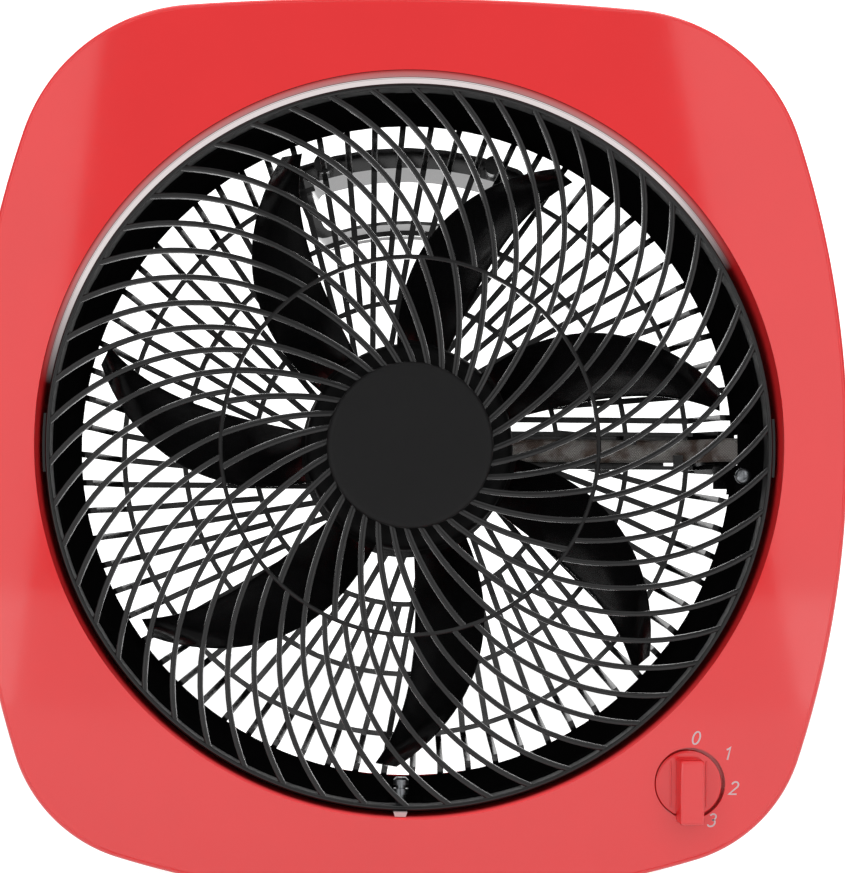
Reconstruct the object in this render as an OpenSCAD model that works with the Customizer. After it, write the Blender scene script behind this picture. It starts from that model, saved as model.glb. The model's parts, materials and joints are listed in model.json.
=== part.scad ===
// Table box fan with a spiral front grille, a seven-blade impeller and a three-speed knob.
// X is the width, Y the depth with the front at -Y, Z is up. The feet stand on z = 0.

/* [Casing] */
// Half of the casing's width
half_w = 165; // [160:1:190]
// Height of the casing above the fan's axis
top_h = 169; // [165:1:190]
// Depth of the casing below the fan's axis
bottom_h = 170.5; // [167:0.5:190]
// Bow radius of the two sides
side_bow = 378; // [340:1:600]
// Bow radius of the top edge
top_bow = 1060; // [600:10:1500]
// Bow radius of the bottom edge
bottom_bow = 375; // [340:1:600]
// Radius of the top corners
top_corner = 70.5; // [55:0.5:78]
// Radius of the bottom corners
bottom_corner = 58; // [48:0.5:64]
// Depth of the casing, front face to back face
case_d = 100; // [96:1:120]
// Depth of the seam between the front and the rear shell
seam_d = 50; // [40:1:58]
// Wall thickness of the shells
wall = 2.4; // [1.8:0.1:3]
// Width of the rounded front edge
edge_in = 1.7; // [1:0.1:2.5]
// Depth of the rounded front edge
edge_d = 2.6; // [2:0.1:4]

/* [Front opening] */
// Radius of the round opening at the front face
opening_r = 141; // [140:0.5:143]
// How much the throat narrows towards the duct
throat_taper = 2.2; // [1:0.1:2.4]
// Depth of the throat
throat_d = 18; // [14:0.5:22]

/* [Front grille] */
// Outer radius of the grille's rim
grille_r = 137.3; // [134:0.1:138]
// Thickness of the rim
rim_t = 1.8; // [1.2:0.1:3]
// Depth at which the grille's bars start
bar_d0 = 6.2; // [5:0.1:8]
// Depth of the bars from front to back
bar_h = 4; // [2.5:0.1:5]
// Width of the outer bars
bar_w = 2.1; // [1.6:0.1:2.6]
// Width of the inner bars
inner_bar_w = 2.4; // [1.8:0.1:3]
// Number of outer bars
outer_bars = 54; // [36:6:60]
// Number of inner bars
inner_bars = 36; // [24:6:40]
// Radius of the ring where the outer bars meet the inner bars
mid_ring_r = 71.4; // [60:0.1:90]
// Radius of curvature of the outer bars
outer_curve = 91.8; // [90:0.1:100]
// Distance of the outer bars' centres of curvature from the axis
outer_throw = 89.8; // [86:0.1:96]
// Radius of curvature of the inner bars
inner_curve = 120; // [112:0.5:140]
// Distance of the inner bars' centres of curvature from the axis
inner_throw = 111.8; // [106:0.1:130]
// Radius of the centre cap
cap_r = 31.4; // [26:0.1:36]
// Number of snap hooks round the rim
hooks = 6; // [3:1:8]

/* [Duct] */
// Inner radius at the duct's rear edge
duct_r = 128.7; // [126:0.1:131]
// Depth of the duct's rear edge
duct_end = 58; // [54:1:60]
// Wall thickness of the duct
duct_wall = 1.9; // [1.4:0.1:2.5]

/* [Impeller] */
// Number of blades
blades = 7; // [3:1:9]
// Radius at the blade tips
blade_r = 123.3; // [110:0.1:125]
// Radius of the impeller's hub
hub_r = 40; // [36:0.5:44]
// Depth at which the hub starts
hub_d0 = 23; // [20:0.5:26]
// Depth at which the hub ends
hub_d1 = 52; // [48:0.5:54]
// Thickness of a blade
blade_t = 2; // [1.4:0.1:2.6]

/* [Motor] */
// Radius of the motor shaft
shaft_r = 4; // [3:0.1:5]
// Outer radius of the motor's end shells
motor_r = 38.5; // [36:0.5:40]
// Depth at which the motor starts
motor_d0 = 58; // [56:0.5:60]
// Radius of the rotor
rotor_r = 19.6; // [15:0.1:22]

/* [Rear grille] */
// Radius at which the bars bend towards the rim
dish_r = 118; // [110:0.5:122]
// Inner radius of the grille's rim
dish_rim_r = 130; // [129:0.1:133]
// Number of outer rear bars
rear_outer_bars = 72; // [36:6:84]
// Number of inner rear bars
rear_inner_bars = 36; // [18:6:42]
// Width of the rear bars
rear_bar_w = 2.4; // [1.5:0.1:2.8]
// Depth of the rear bars from front to back
rear_bar_h = 3; // [2:0.1:4]
// Distance at which the rear bars pass the axis
rear_offset = 14; // [0:0.5:20]

/* [Carry handle] */
// How far the handle stands out behind the casing
handle_out = 12; // [8:0.5:20]
// Inner radius of the finger opening
handle_in_r = 96.5; // [92:0.5:98]
// Outer radius of the finger opening
handle_out_r = 118.5; // [114:0.5:119]
// Radial width of the grip above the finger opening
handle_grip = 8; // [6:0.1:10]
// Wall thickness under the finger opening
handle_t = 1.4; // [1.2:0.1:2.4]
// How far the handle slopes towards the axis on its way back
handle_drop = 5.3; // [3:0.1:7]
// Half of the angle that the finger opening spans
handle_half_a = 20.5; // [14:0.5:24]

/* [Speed knob] */
// Place of the knob to the right of the axis
knob_x = 105.1; // [100:0.1:110]
// Place of the knob below the axis
knob_drop = 126.2; // [122:0.1:132]
// Radius of the knob's disc
knob_r = 12.5; // [10:0.1:14]
// How far the grip stands out of the front face
grip_out = 11; // [7:0.5:15]
// Width of the grip
grip_w = 9; // [8:0.1:11]

/* [Feet] */
// Height of the fan's axis above the ground
axis_z = 176; // [174:0.5:190]
// Distance of each foot's centre from the middle
foot_x = 68; // [50:1:72]
// Width of each foot
foot_w = 34; // [24:1:40]

/* [Hidden] */
$fn = 96;
eps = 0.01;
fit = 0.3;
run_fit = 0.05;
RED = [0.86, 0.24, 0.26];
BLACK = [0.09, 0.09, 0.1];
DARK = [0.2, 0.2, 0.21];
STEEL = [0.7, 0.71, 0.73];

knob_disc_d = 0.3;
depth_total = grip_out + case_d + handle_out;
front_y = grip_out - depth_total / 2;

// ---------- places ----------
// Local frame on the fan's axis: x to the right, y up, z towards the viewer, 0 at the front face.
module on_axis() { translate([0, front_y, axis_z]) rotate([90, 0, 0]) children(); }
// A prism between two depths
module slab(d0, d1) { translate([0, 0, -d1]) linear_extrude(d1 - d0) children(); }
module disc(r, d0, d1) { translate([0, 0, -d1]) cylinder(r = r, h = d1 - d0); }
module tube(r_out, r_in, d0, d1) {
  difference() {
    disc(r_out, d0, d1);
    disc(r_in, d0 - 1, d1 + 1);
  }
}
module around(n, first = 0) { for (i = [0 : n - 1]) rotate([0, 0, first + i * 360 / n]) children(); }
function polar(r, a) = [r * cos(a), r * sin(a)];

// ---------- casing outline ----------
function arc(c, r, a0, a1, n) = [for (i = [0 : n]) c + polar(r, a0 + (a1 - a0) * i / n)];
// Centre of a corner arc that touches the side bow and the top or bottom bow from inside
function corner_centre(bow, h, corner) =
  let (
    a = [half_w - side_bow, 0], b = [0, h - bow],
    ra = side_bow - corner, rb = bow - corner,
    d = norm(b - a), u = (b - a) / d,
    k = (ra * ra - rb * rb + d * d) / (2 * d), s = sqrt(ra * ra - k * k),
    p = a + k * u + s * [-u[1], u[0]], q = a + k * u - s * [-u[1], u[0]]
  ) p[0] + p[1] > q[0] + q[1] ? p : q;
// One quarter of the outline, from the side to the middle of the top, moved in by inset
function quarter(bow, h, corner, inset) =
  let (
    c = corner_centre(bow, h, corner),
    a1 = atan2(c[1], c[0] - half_w + side_bow),
    a2 = atan2(c[1] - h + bow, c[0])
  ) concat(
    arc([half_w - side_bow, 0], side_bow - inset, 0, a1, 6),
    arc(c, corner - inset, a1, a2, 12),
    arc([0, h - bow], bow - inset, a2, 90, 6)
  );
function tidy(p) = [for (i = [0 : len(p) - 1]) if (i == 0 || norm(p[i] - p[i - 1]) > 0.01) p[i]];
function half_outline(inset) =
  let (
    up = tidy(quarter(top_bow, top_h, top_corner, inset)),
    down = tidy(quarter(bottom_bow, bottom_h, bottom_corner, inset)),
    n = len(down)
  ) concat([for (i = [n - 1 : -1 : 1]) [down[i][0], -down[i][1]]], up);
function case_outline(inset = 0) =
  let (h = half_outline(inset), n = len(h))
  concat(h, [for (i = [n - 2 : -1 : 1]) [-h[i][0], h[i][1]]]);
module case_slab(inset, d0, d1) { slab(d0, d1) polygon(case_outline(inset)); }

// A solid through a list of rings with the same number of points, from the front to the back
module loft(rings) {
  n = len(rings[0]);
  m = len(rings);
  polyhedron(
    points = [for (r = rings) each r],
    faces = concat(
      [[for (i = [n - 1 : -1 : 0]) i]],
      [for (j = [0 : m - 2], i = [0 : n - 1]) [j * n + i, j * n + (i + 1) % n, (j + 1) * n + i]],
      [for (j = [0 : m - 2], i = [0 : n - 1])
        [(j + 1) * n + i, j * n + (i + 1) % n, (j + 1) * n + (i + 1) % n]],
      [[for (i = [0 : n - 1]) (m - 1) * n + i]]
    )
  );
}

// ---------- casing ----------
duct_screw_r = 149;
duct_screw_a = [30, 150, 210, 330];
case_screw_r = 168;
case_screw_a = [35, 145, 215, 325];
screw_d1 = 72;
case_boss_r = 5.2;
screw_r = 1.25;
screw_head_r = 3;
screw_hole_r = 1.7;
pilot = screw_r + 0.05;
knob_at = [knob_x, -knob_drop];
recess_r = knob_r + 0.7;
recess_d = 4.6;
switch_hole_r = 5;
foot_screw_d = [25, 75];

module at_duct_screws() { for (a = duct_screw_a) rotate([0, 0, a]) translate([duct_screw_r, 0, 0]) children(); }
module at_case_screws() { for (a = case_screw_a) rotate([0, 0, a]) translate([case_screw_r, 0, 0]) children(); }
module at_knob() { translate([knob_at[0], knob_at[1], 0]) children(); }
// Vertical station of a screw that holds a foot, side is -1 or 1, with z up from the ground
module at_foot_screw(side, d) { translate([side * foot_x, -axis_z, -d]) rotate([-90, 0, 0]) children(); }
// Height of the casing's underside above the ground at a foot's middle
foot_top = axis_z - bottom_h + bottom_bow - sqrt(bottom_bow * bottom_bow - foot_x * foot_x);

function ring_at(inset, d) = [for (p = case_outline(inset)) [p[0], p[1], -d]];

module front_shell() {
  difference() {
    loft([
      ring_at(edge_in, 0), ring_at(edge_in * 0.45, edge_d * 0.2),
      ring_at(edge_in * 0.12, edge_d * 0.55), ring_at(0, edge_d), ring_at(0, seam_d)
    ]);
    case_slab(wall, wall, seam_d + 1);
  }
}

// Throat behind the round opening, with a small lip at the face
module throat() {
  r0 = opening_r;
  r1 = opening_r - throat_taper;
  rotate_extrude() polygon([
    [r0 + 0.8, 0], [r0, -0.9], [r1, -throat_d], [r1 + 2, -throat_d],
    [r0 + 2.2, -3.2], [r0 + 3, -wall], [r0 + 3, 0]
  ]);
}

// Boss for a foot's screw, inside one of the shells
module foot_boss(d) {
  for (s = [-1, 1]) at_foot_screw(s, d) translate([0, 0, foot_top + 1]) cylinder(r = 4.5, h = 9);
}
module foot_pilot(d) {
  for (s = [-1, 1]) at_foot_screw(s, d) translate([0, 0, foot_top - 3]) cylinder(r = pilot, h = 12);
}

module front_housing() color(RED) on_axis() {
  difference() {
    union() {
      difference() {
        front_shell();
        disc(opening_r + 1.8, -1, wall + 1);
      }
      throat();
      at_duct_screws() disc(4, wall - eps, throat_d + fit);
      at_case_screws() disc(4.5, wall - eps, seam_d - 0.3);
      at_knob() disc(recess_r + 1.8, wall - eps, recess_d + 1.8);
      foot_boss(foot_screw_d[0]);
    }
    at_duct_screws() disc(pilot, wall + 2, throat_d + 1);
    at_case_screws() disc(pilot, wall + 4, seam_d + 1);
    at_knob() {
      disc(recess_r, -1, recess_d);
      disc(switch_hole_r, -1, recess_d + 3);
    }
    foot_pilot(foot_screw_d[0]);
  }
}

// Outline of the opening in the back, a large circle that the casing's own outline cuts off
back_open_r = 150;
back_open_up = 21;
back_inset = 12;
lip_d = 66;
lip_t = 2;
module back_opening(grow, d0, d1) {
  intersection() {
    translate([0, back_open_up, 0]) disc(back_open_r + grow, d0, d1);
    case_slab(back_inset - grow, d0 - eps, d1 + eps);
  }
}

cord_at = [120, -121];
module at_cord() { translate([cord_at[0], cord_at[1], 0]) children(); }
module rear_housing() color(RED) on_axis() {
  difference() {
    union() {
      difference() {
        loft([
          ring_at(0, seam_d + 0.1), ring_at(0, case_d - 4), ring_at(0.9, case_d - 1.6), ring_at(3.2, case_d)
        ]);
        case_slab(wall, seam_d - 1, case_d - wall);
        back_opening(lip_t / 2, seam_d, case_d + 1);
      }
      // tongue that locates the two shells
      difference() {
        case_slab(wall + 0.2, seam_d - 4, seam_d + 6);
        case_slab(wall + 1.6, seam_d - 5, seam_d + 7);
      }
      case_tongue_web();
      difference() {
        back_opening(lip_t, lip_d, case_d - 0.4);
        back_opening(0, lip_d - 1, case_d + 1);
      }
      at_case_screws() disc(case_boss_r, seam_d + 0.1, case_d - wall + eps);
      at_rear_screws() disc(3.6, lip_d, lip_d + 14);
      foot_boss(foot_screw_d[1]);
    }
    at_rear_screws() disc(pilot, lip_d - 1, lip_d + 12);
    at_case_screws() {
      disc(screw_hole_r + fit, seam_d - 6, case_d);
      disc(screw_head_r + 0.8, screw_d1, case_d + 1);
    }
    foot_pilot(foot_screw_d[1]);
    at_cord() disc(5, case_d - 8, case_d + 1);
  }
}
// Step that carries the tongue on the rear shell's wall
module case_tongue_web() {
  difference() {
    case_slab(wall - 0.4, seam_d + 0.1, seam_d + 6);
    case_slab(wall + 1.6, seam_d - 1, seam_d + 7);
  }
}

module cord_bushing() color(BLACK) on_axis() at_cord() difference() {
  union() {
    disc(4.9, case_d - wall - 2.4, case_d + 1);
    disc(7, case_d + 0.05, case_d + 2.2);
    disc(6.4, case_d - wall - 2.4, case_d - wall - 0.05);
    translate([0, 0, -case_d - 8]) cylinder(r1 = 3.8, r2 = 5, h = 6);
  }
  disc(2.7, case_d - 20, case_d + 20);
}

// Pan head screw whose head's seat is at 0, with its tip towards -z
module pan_screw(head_r, shank_r, len) {
  difference() {
    union() {
      translate([0, 0, -len]) cylinder(r = shank_r, h = len + eps);
      rotate_extrude() polygon([
        [0, 0], [head_r, 0], [head_r, head_r * 0.35], [head_r * 0.75, head_r * 0.65], [0, head_r * 0.75]
      ]);
    }
    translate([0, 0, head_r * 0.7]) {
      cube([head_r * 1.1, head_r * 0.25, head_r * 0.7], center = true);
      cube([head_r * 0.25, head_r * 1.1, head_r * 0.7], center = true);
    }
  }
}
// The same screw driven from behind, its head's seat at depth d and its tip towards the front
module back_screw(d, head_r, shank_r, len) { translate([0, 0, -d]) mirror([0, 0, 1]) pan_screw(head_r, shank_r, len); }
// The same screw driven from the front, its head's seat at depth d
module front_screw(d, head_r, shank_r, len) { translate([0, 0, -d]) pan_screw(head_r, shank_r, len); }

module housing_screws() color(STEEL) on_axis()
  at_case_screws() back_screw(screw_d1, screw_head_r, screw_r, screw_d1 - seam_d + 14);

// ---------- front grille ----------
rim_in = grille_r - rim_t;
rim_d0 = bar_d0 - 0.2;
rim_d1 = throat_d - 0.3;
hub_plate_r = cap_r + 1;
hub_plate_d = bar_d0 - 0.15;
mid_ring_t = 1.5;
hook_in_r = rim_in - 3;
lock_a = 269;
lock_d = rim_d1 + 2.7;

// Angle at a bar's centre of curvature between the fan's axis and the point of the bar at radius r
function bend_angle(throw, curve, r) =
  acos((throw * throw + curve * curve - r * r) / (2 * throw * curve));
// Polar angle of the bar's centre of curvature that puts its point at radius r on angle 0
function lead_angle(throw, curve, r) =
  acos((throw * throw + r * r - curve * curve) / (2 * throw * r));

module spiral_bar(throw, curve, r0, r1, w, d0, d1) {
  a0 = bend_angle(throw, curve, r0);
  a1 = bend_angle(throw, curve, r1);
  translate([throw, 0, -d1]) rotate([0, 0, 180 + a0]) rotate_extrude(angle = a1 - a0)
    translate([curve - w / 2, 0]) square([w, d1 - d0]);
}

bar_start = -2.9;
module spiral_bars() {
  around(outer_bars, bar_start + lead_angle(outer_throw, outer_curve, mid_ring_r))
    spiral_bar(outer_throw, outer_curve, mid_ring_r, rim_in + 0.8, bar_w, bar_d0, bar_d0 + bar_h);
  around(inner_bars, bar_start + lead_angle(inner_throw, inner_curve, mid_ring_r))
    spiral_bar(inner_throw, inner_curve, hub_plate_r - 2.3, mid_ring_r, inner_bar_w, bar_d0, bar_d0 + bar_h);
}

module hook() {
  // arm behind the rim that snaps into the duct
  rotate([0, 0, -2.2]) rotate_extrude(angle = 4.4) polygon([
    [hook_in_r, -bar_d0 - 3], [rim_in + 0.4, -bar_d0 - 3], [rim_in + 0.4, -rim_d1 + 1],
    [hook_in_r + 1.4, -rim_d1], [hook_in_r + 1.4, -rim_d1 - 7], [hook_in_r, -rim_d1 - 7]
  ]);
}

module front_grille() color(DARK) on_axis() {
  difference() {
    union() {
      tube(grille_r, rim_in, rim_d0, rim_d1);
      tube(mid_ring_r + mid_ring_t / 2, mid_ring_r - mid_ring_t / 2, bar_d0 - 0.15, bar_d0 + bar_h + 0.15);
      disc(hub_plate_r, hub_plate_d, bar_d0 + bar_h - 0.2);
      spiral_bars();
      around(hooks, 30) hook();
      // lugs at both sides that rest in the throat
      for (a = [0, 180]) rotate([0, 0, a - 4.6]) rotate_extrude(angle = 9.2)
        translate([grille_r - 0.5, -rim_d1 + 1]) square([1.8, 9]);
      // lug for the lock screw
      rotate([0, 0, lock_a]) translate([rim_in - 2.6, -4.5, -lock_d - 3.3]) cube([3, 9, 9]);
    }
    for (a = [45 : 90 : 315]) rotate([0, 0, a]) translate([18, 0, 0]) disc(2.6, 0, 20);
    rotate([0, 0, lock_a]) translate([rim_in - 6, 0, -lock_d]) rotate([0, 90, 0]) cylinder(r = 2.2, h = 12);
  }
}

module grille_cap() color([0.15, 0.15, 0.16]) on_axis() {
  d0 = bar_d0 - 2.6;
  rotate_extrude() polygon([
    [0, -d0 + 0.2], [cap_r * 0.6, -d0 + 0.15], [cap_r - 1.6, -d0 - 0.1], [cap_r - 0.5, -d0 - 0.5], [cap_r, -d0 - 1.2],
    [cap_r, -hub_plate_d + 0.05], [0, -hub_plate_d + 0.05]
  ]);
  for (a = [45 : 90 : 315]) rotate([0, 0, a]) translate([18, 0, 0]) disc(2.3, hub_plate_d - 0.2, bar_d0 + bar_h + 1.5);
}

lock_r0 = rim_in - 9.6;
module grille_lock_screw() color(STEEL) on_axis()
  rotate([0, 0, lock_a]) translate([lock_r0, 0, -lock_d]) rotate([0, 90, 0]) {
    cylinder(r1 = 2, r2 = 2.9, h = 0.9);
    translate([0, 0, 0.9 - eps]) cylinder(r = 2.9, h = 2);
    translate([0, 0, 4.2]) cylinder(r = 2.8, h = hook_in_r - lock_r0 - 4.4);
    cylinder(r = 1.9, h = grille_r + 1.2 - lock_r0);
  }

module grille_latch() color([0.8, 0.76, 0.76]) on_axis()
  rotate([0, 0, lock_a - 0.1]) translate([grille_r + 0.1, -2.6, -6.5])
    linear_extrude(4) polygon([[0, 0], [1.7, 0.6], [1.7, 4.6], [0, 5.2]]);

// ---------- duct ----------
duct_d0 = throat_d + fit;
duct_front_r = rim_in - 0.9;
pocket = [127.5, 141, -15.2, 8.7];
pocket_d0 = 34;
channel_screw_at = [131.6, -11];
module duct_profile() {
  polygon([
    [duct_front_r, -duct_d0], [opening_r + 4, -duct_d0], [opening_r + 4, -duct_d0 - 2.2],
    [duct_front_r + duct_wall + 1, -duct_d0 - 2.2], [duct_r + duct_wall, -duct_end], [duct_r, -duct_end]
  ]);
}
// Recess in the duct's wall that the leads pass, seen as a box that grows by its wall
module duct_pocket(grow) {
  translate([pocket[0] - grow, pocket[2] - grow, -duct_end - 1])
    cube([pocket[1] - pocket[0] + 2 * grow, pocket[3] - pocket[2] + 2 * grow, duct_end + 1 - pocket_d0 + grow]);
}
module at_channel_screw() { translate([channel_screw_at[0], channel_screw_at[1], 0]) children(); }
module duct_rib() {
  rotate([90, 0, 0]) translate([0, 0, -0.8]) linear_extrude(1.6) polygon([
    [duct_front_r + 2, -duct_d0 - 1], [opening_r + 3, -duct_d0 - 1],
    [opening_r + 3, -duct_d0 - 4], [duct_front_r + 1, -duct_d0 - 16]
  ]);
}
module air_duct() color(BLACK) on_axis() {
  difference() {
    union() {
      difference() {
        union() {
          rotate_extrude() duct_profile();
          at_duct_screws() disc(5, duct_d0, duct_d0 + 2.2);
          intersection() {
            duct_pocket(1.6);
            tube(pocket[1] + 2, duct_r - 1, pocket_d0 - 2, duct_end);
          }
          around(12, 15) duct_rib();
        }
        duct_pocket(0);
        translate([pocket[1] - 2, -6, -duct_end - 1]) cube([8, 13, duct_end + 1 - pocket_d0]);
      }
      at_channel_screw() disc(4, duct_end - 10, rim_back_d0 - 0.05);
      translate([channel_screw_at[0] - 4, pocket[2] - 0.5, -duct_end]) cube([8, 4, 10]);
    }
    at_duct_screws() disc(screw_hole_r, 10, 30);
    at_channel_screw() disc(screw_hole_r, 0, 200);
    // slots for the hooks and the lock screw's lug
    around(hooks, 30) rotate([0, 0, -2.6]) rotate_extrude(angle = 5.2)
      translate([hook_in_r - 1, -rim_d1 - 8]) square([rim_in - hook_in_r + 1.9, 9]);
    rotate([0, 0, lock_a]) {
      translate([rim_in - 5, -5, -lock_d - 3.7]) cube([5.8, 10, 12]);
      translate([rim_in, 0, -lock_d]) rotate([0, 90, 0]) cylinder(r = 1.95, h = 12);
    }
  }
}

module duct_screws() color(STEEL) on_axis()
  at_duct_screws() back_screw(duct_d0 + 2.25, screw_head_r, screw_r, 10);

// ---------- rear grille ----------
grid_d1 = case_d - 2;
grid_d0 = grid_d1 - rear_bar_h;
rim_back_d0 = lip_d - 3.3;
rim_back_d1 = lip_d - 0.3;
motor_plate_r = 43;
motor_screw_r = 34;
rear_rings = [62.1, 90.5, 115.2];
rear_ring_w = 2.1;
rear_screw_a = [50, 130, 180, 235, 305];
channel = [40, 120, -6.6, 8.6];
channel_d0 = 80;
function along(r) = sqrt(r * r - rear_offset * rear_offset);
bend_x0 = along(dish_r);
bend_x1 = along(dish_rim_r + 1.4);
// Where the slants end, clear of the rear shell's lip at the bottom
slant_x = along(back_open_r - back_open_up - 0.4);

// Stations of the screws that hold the rear grille to the rear shell's lip
// Distance of the opening's edge from its middle in direction a, where the casing's sides may be nearer
function back_edge(a) = min(back_open_r, (half_w - back_inset) / max(abs(cos(a)), 0.01));
module at_rear_screws() {
  for (a = rear_screw_a) translate([0, back_open_up, 0]) rotate([0, 0, a]) translate([back_edge(a) + 3.2, 0, 0]) children();
}
handle_screw_r = handle_out_r + handle_grip / 2;
module at_handle_screws() {
  for (s = [-1, 1]) rotate([0, 0, 90 + s * (handle_half_a - 4)]) translate([handle_screw_r, 0, 0]) children();
}
// Front end of the posts under the handle, on the slant of the outer bars or on the rim
slant = (grid_d1 - rim_back_d0) / (dish_rim_r - dish_r);
post_d0 = max(rim_back_d0 + 0.5, grid_d1 - (handle_screw_r - dish_r) * slant);

module rear_bar(r0, r1) {
  translate([along(r0), rear_offset - rear_bar_w / 2, -grid_d1]) cube([along(r1) - along(r0), rear_bar_w, rear_bar_h]);
}
// A plate in the plane of the fan's axis whose outline is given as radius and depth
module axial_plate(y0, t) { translate([0, y0 + t, 0]) rotate([90, 0, 0]) linear_extrude(t) mirror([0, 1]) children(); }
// A ring of the grid, open at the top over half angle gap
module rear_ring(r, gap) {
  rotate([0, 0, 90 + gap]) rotate_extrude(angle = 360 - 2 * gap)
    translate([r - rear_ring_w / 2, -grid_d1]) square([rear_ring_w, rear_bar_h]);
}
// The end of an outer bar, which slants forward to the rim
module rear_bar_end() {
  axial_plate(rear_offset - rear_bar_w / 2, rear_bar_w) polygon([
    [bend_x0 - 1.4, grid_d0], [slant_x - 3, rim_back_d0 + 1], [bend_x1, rim_back_d0 + 1],
    [bend_x1, rim_back_d1], [slant_x, rim_back_d1], [bend_x0 + 0.8, grid_d1], [bend_x0 - 1.4, grid_d1]
  ]);
}
// Floor of the channel, flat and then slanting forward beside the bars' ends
module channel_floor() {
  axial_plate(channel[2], channel[3] - channel[2]) polygon([
    [channel[0], grid_d1 - 2], [bend_x0 - 1.4, grid_d1 - 2], [bend_x1 - 2.2, rim_back_d0 + 1],
    [bend_x1, rim_back_d0 + 1], [bend_x1, rim_back_d1], [bend_x0 + 0.8, grid_d1], [channel[0], grid_d1]
  ]);
}
// What the channel keeps free, through the rim's notch
module channel_void() {
  axial_plate(channel[2] + 1.6, channel[3] - channel[2] - 3.2) polygon([
    [channel[0] + 2, rim_back_d0 - 3], [dish_rim_r + 15, rim_back_d0 - 3], [dish_rim_r + 15, rim_back_d1 + 1],
    [bend_x1 - 2.2, rim_back_d1 + 1], [bend_x1 - 2.2, rim_back_d0 + 1], [bend_x0 - 1.4, grid_d1 - 2],
    [channel[0] + 2, grid_d1 - 2]
  ]);
}
module channel_side(y0) {
  axial_plate(y0, 1.6) polygon([
    [channel[0], channel_d0], [channel[1] - 4, channel_d0], [channel[1] + 4, rim_back_d0 + 1],
    [dish_rim_r + 1, rim_back_d0 + 1], [channel[1], grid_d1 - 1], [channel[0], grid_d1 - 1]
  ]);
}

module rear_grille() color(BLACK) on_axis() {
  difference() {
    union() {
      difference() {
        union() {
          disc(motor_plate_r, grid_d0, grid_d1);
          for (r = [rear_rings[0], rear_rings[1]]) rear_ring(r, 0);
          rear_ring(rear_rings[2], handle_half_a - 1);
          around(rear_inner_bars) rear_bar(motor_plate_r - 1, rear_rings[0]);
          around(rear_outer_bars) {
            rear_bar(rear_rings[0], dish_r);
            rear_bar_end();
          }
          difference() {
            back_opening(6, rim_back_d0, rim_back_d1);
            disc(dish_rim_r, rim_back_d0 - 1, rim_back_d1 + 1);
          }
        }
        channel_void();
      }
      // channel for the motor's leads
      channel_floor();
      channel_side(channel[2]);
      channel_side(channel[3] - 1.6);
      // clips that hold the leads down
      translate([88, channel[3] - 5, -channel_d0 - 1.6]) cube([5, 5, 1.6]);
      translate([108, channel[2], -channel_d0 - 0.4]) cube([4, 6, 1.4]);
      // tab under the screw at the duct
      translate([122, channel[2] - 8, -rim_back_d1]) cube([14, 9, 3]);
      at_handle_screws() disc(3.9, post_d0, grid_d1);
    }
    at_handle_screws() disc(pilot, grid_d1 - 10, grid_d1 + 1);
    disc(13, 0, 200);
    around(4, 45) translate([motor_screw_r, 0, 0]) disc(2.3, 0, 200);
    around(8) translate([21, -3, -grid_d1 - 1]) cube([8, 6, 10]);
    // window in the channel's floor
    translate([106, -5, -grid_d1 - 1]) cube([4.5, 3, 5]);
    at_rear_screws() disc(screw_hole_r, 0, 200);
    at_channel_screw() disc(pilot, 0, 200);
    at_case_screws() disc(case_boss_r + 0.4, 0, 200);
  }
}

module rear_grille_screws() color(STEEL) on_axis() at_rear_screws() front_screw(rim_back_d0 - 0.05, screw_head_r, screw_r, 12);
module channel_screw() color(STEEL) on_axis()
  at_channel_screw() front_screw(duct_end - 10.05, screw_head_r, screw_r, rim_back_d1 - duct_end + 9.5);

// ---------- carry handle ----------
// Points on the rounded corner of a slot, whose centre lies at radius r and angle k, from direction k + a0
function slot_corner(r, k, c, a0) = [for (i = [0 : 4]) polar(r, k) + polar(c, k + a0 + 22.5 * i)];
// A slot that follows the rim between radii r0 and r1 and half angle a, with corners of radius c, at depth d
function slot_ring(r0, r1, a, c, d) =
  let (out = a - asin(c / (r1 - c)), in = a - asin(c / (r0 + c)))
  [for (p = concat(
    slot_corner(r1 - c, 90 - out, c, -90),
    [for (t = [-2 : 2]) polar(r1, 90 + out * t / 3)],
    slot_corner(r1 - c, 90 + out, c, 0),
    slot_corner(r0 + c, 90 + in, c, 90),
    [for (t = [-2 : 2]) polar(r0, 90 - in * t / 3)],
    slot_corner(r0 + c, 90 - in, c, 180)
  )) [p[0], p[1], -d]];

handle_d0 = grid_d1 + 0.1;
handle_d1 = case_d + handle_out;
handle_seat_d = handle_d0 + 3.5;
module carry_handle() color(BLACK) on_axis() {
  a = handle_half_a;
  lo = handle_in_r - handle_t;
  hi = handle_out_r + handle_grip;
  drop = handle_drop;
  difference() {
    intersection() {
      disc(hi + 5, handle_d0, handle_d1);
      loft([
        slot_ring(lo, hi, a + 3, 5, handle_d0 - 2),
        slot_ring(lo - drop * 0.3, hi - 0.7, a + 2.7, 5, handle_d0 + 4),
        slot_ring(lo - drop * 0.8, hi - 5, a + 1.6, 5, handle_d1 - 2),
        slot_ring(lo - drop * 1.1, hi - 7.6, a + 0.8, 4, handle_d1 + 1)
      ]);
    }
    loft([
      slot_ring(handle_in_r, handle_out_r, a, 5, handle_d0 - 2),
      slot_ring(handle_in_r - drop, handle_out_r - drop, a - 0.6, 5, handle_d1 + 2)
    ]);
    at_handle_screws() {
      disc(screw_hole_r, 90, handle_seat_d + 1);
      disc(screw_head_r + 0.1, handle_seat_d, handle_d1 + 1);
    }
  }
}
module handle_screws() color(STEEL) on_axis() at_handle_screws() back_screw(handle_seat_d + 0.05, screw_head_r - 0.3, screw_r, 12);

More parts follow.
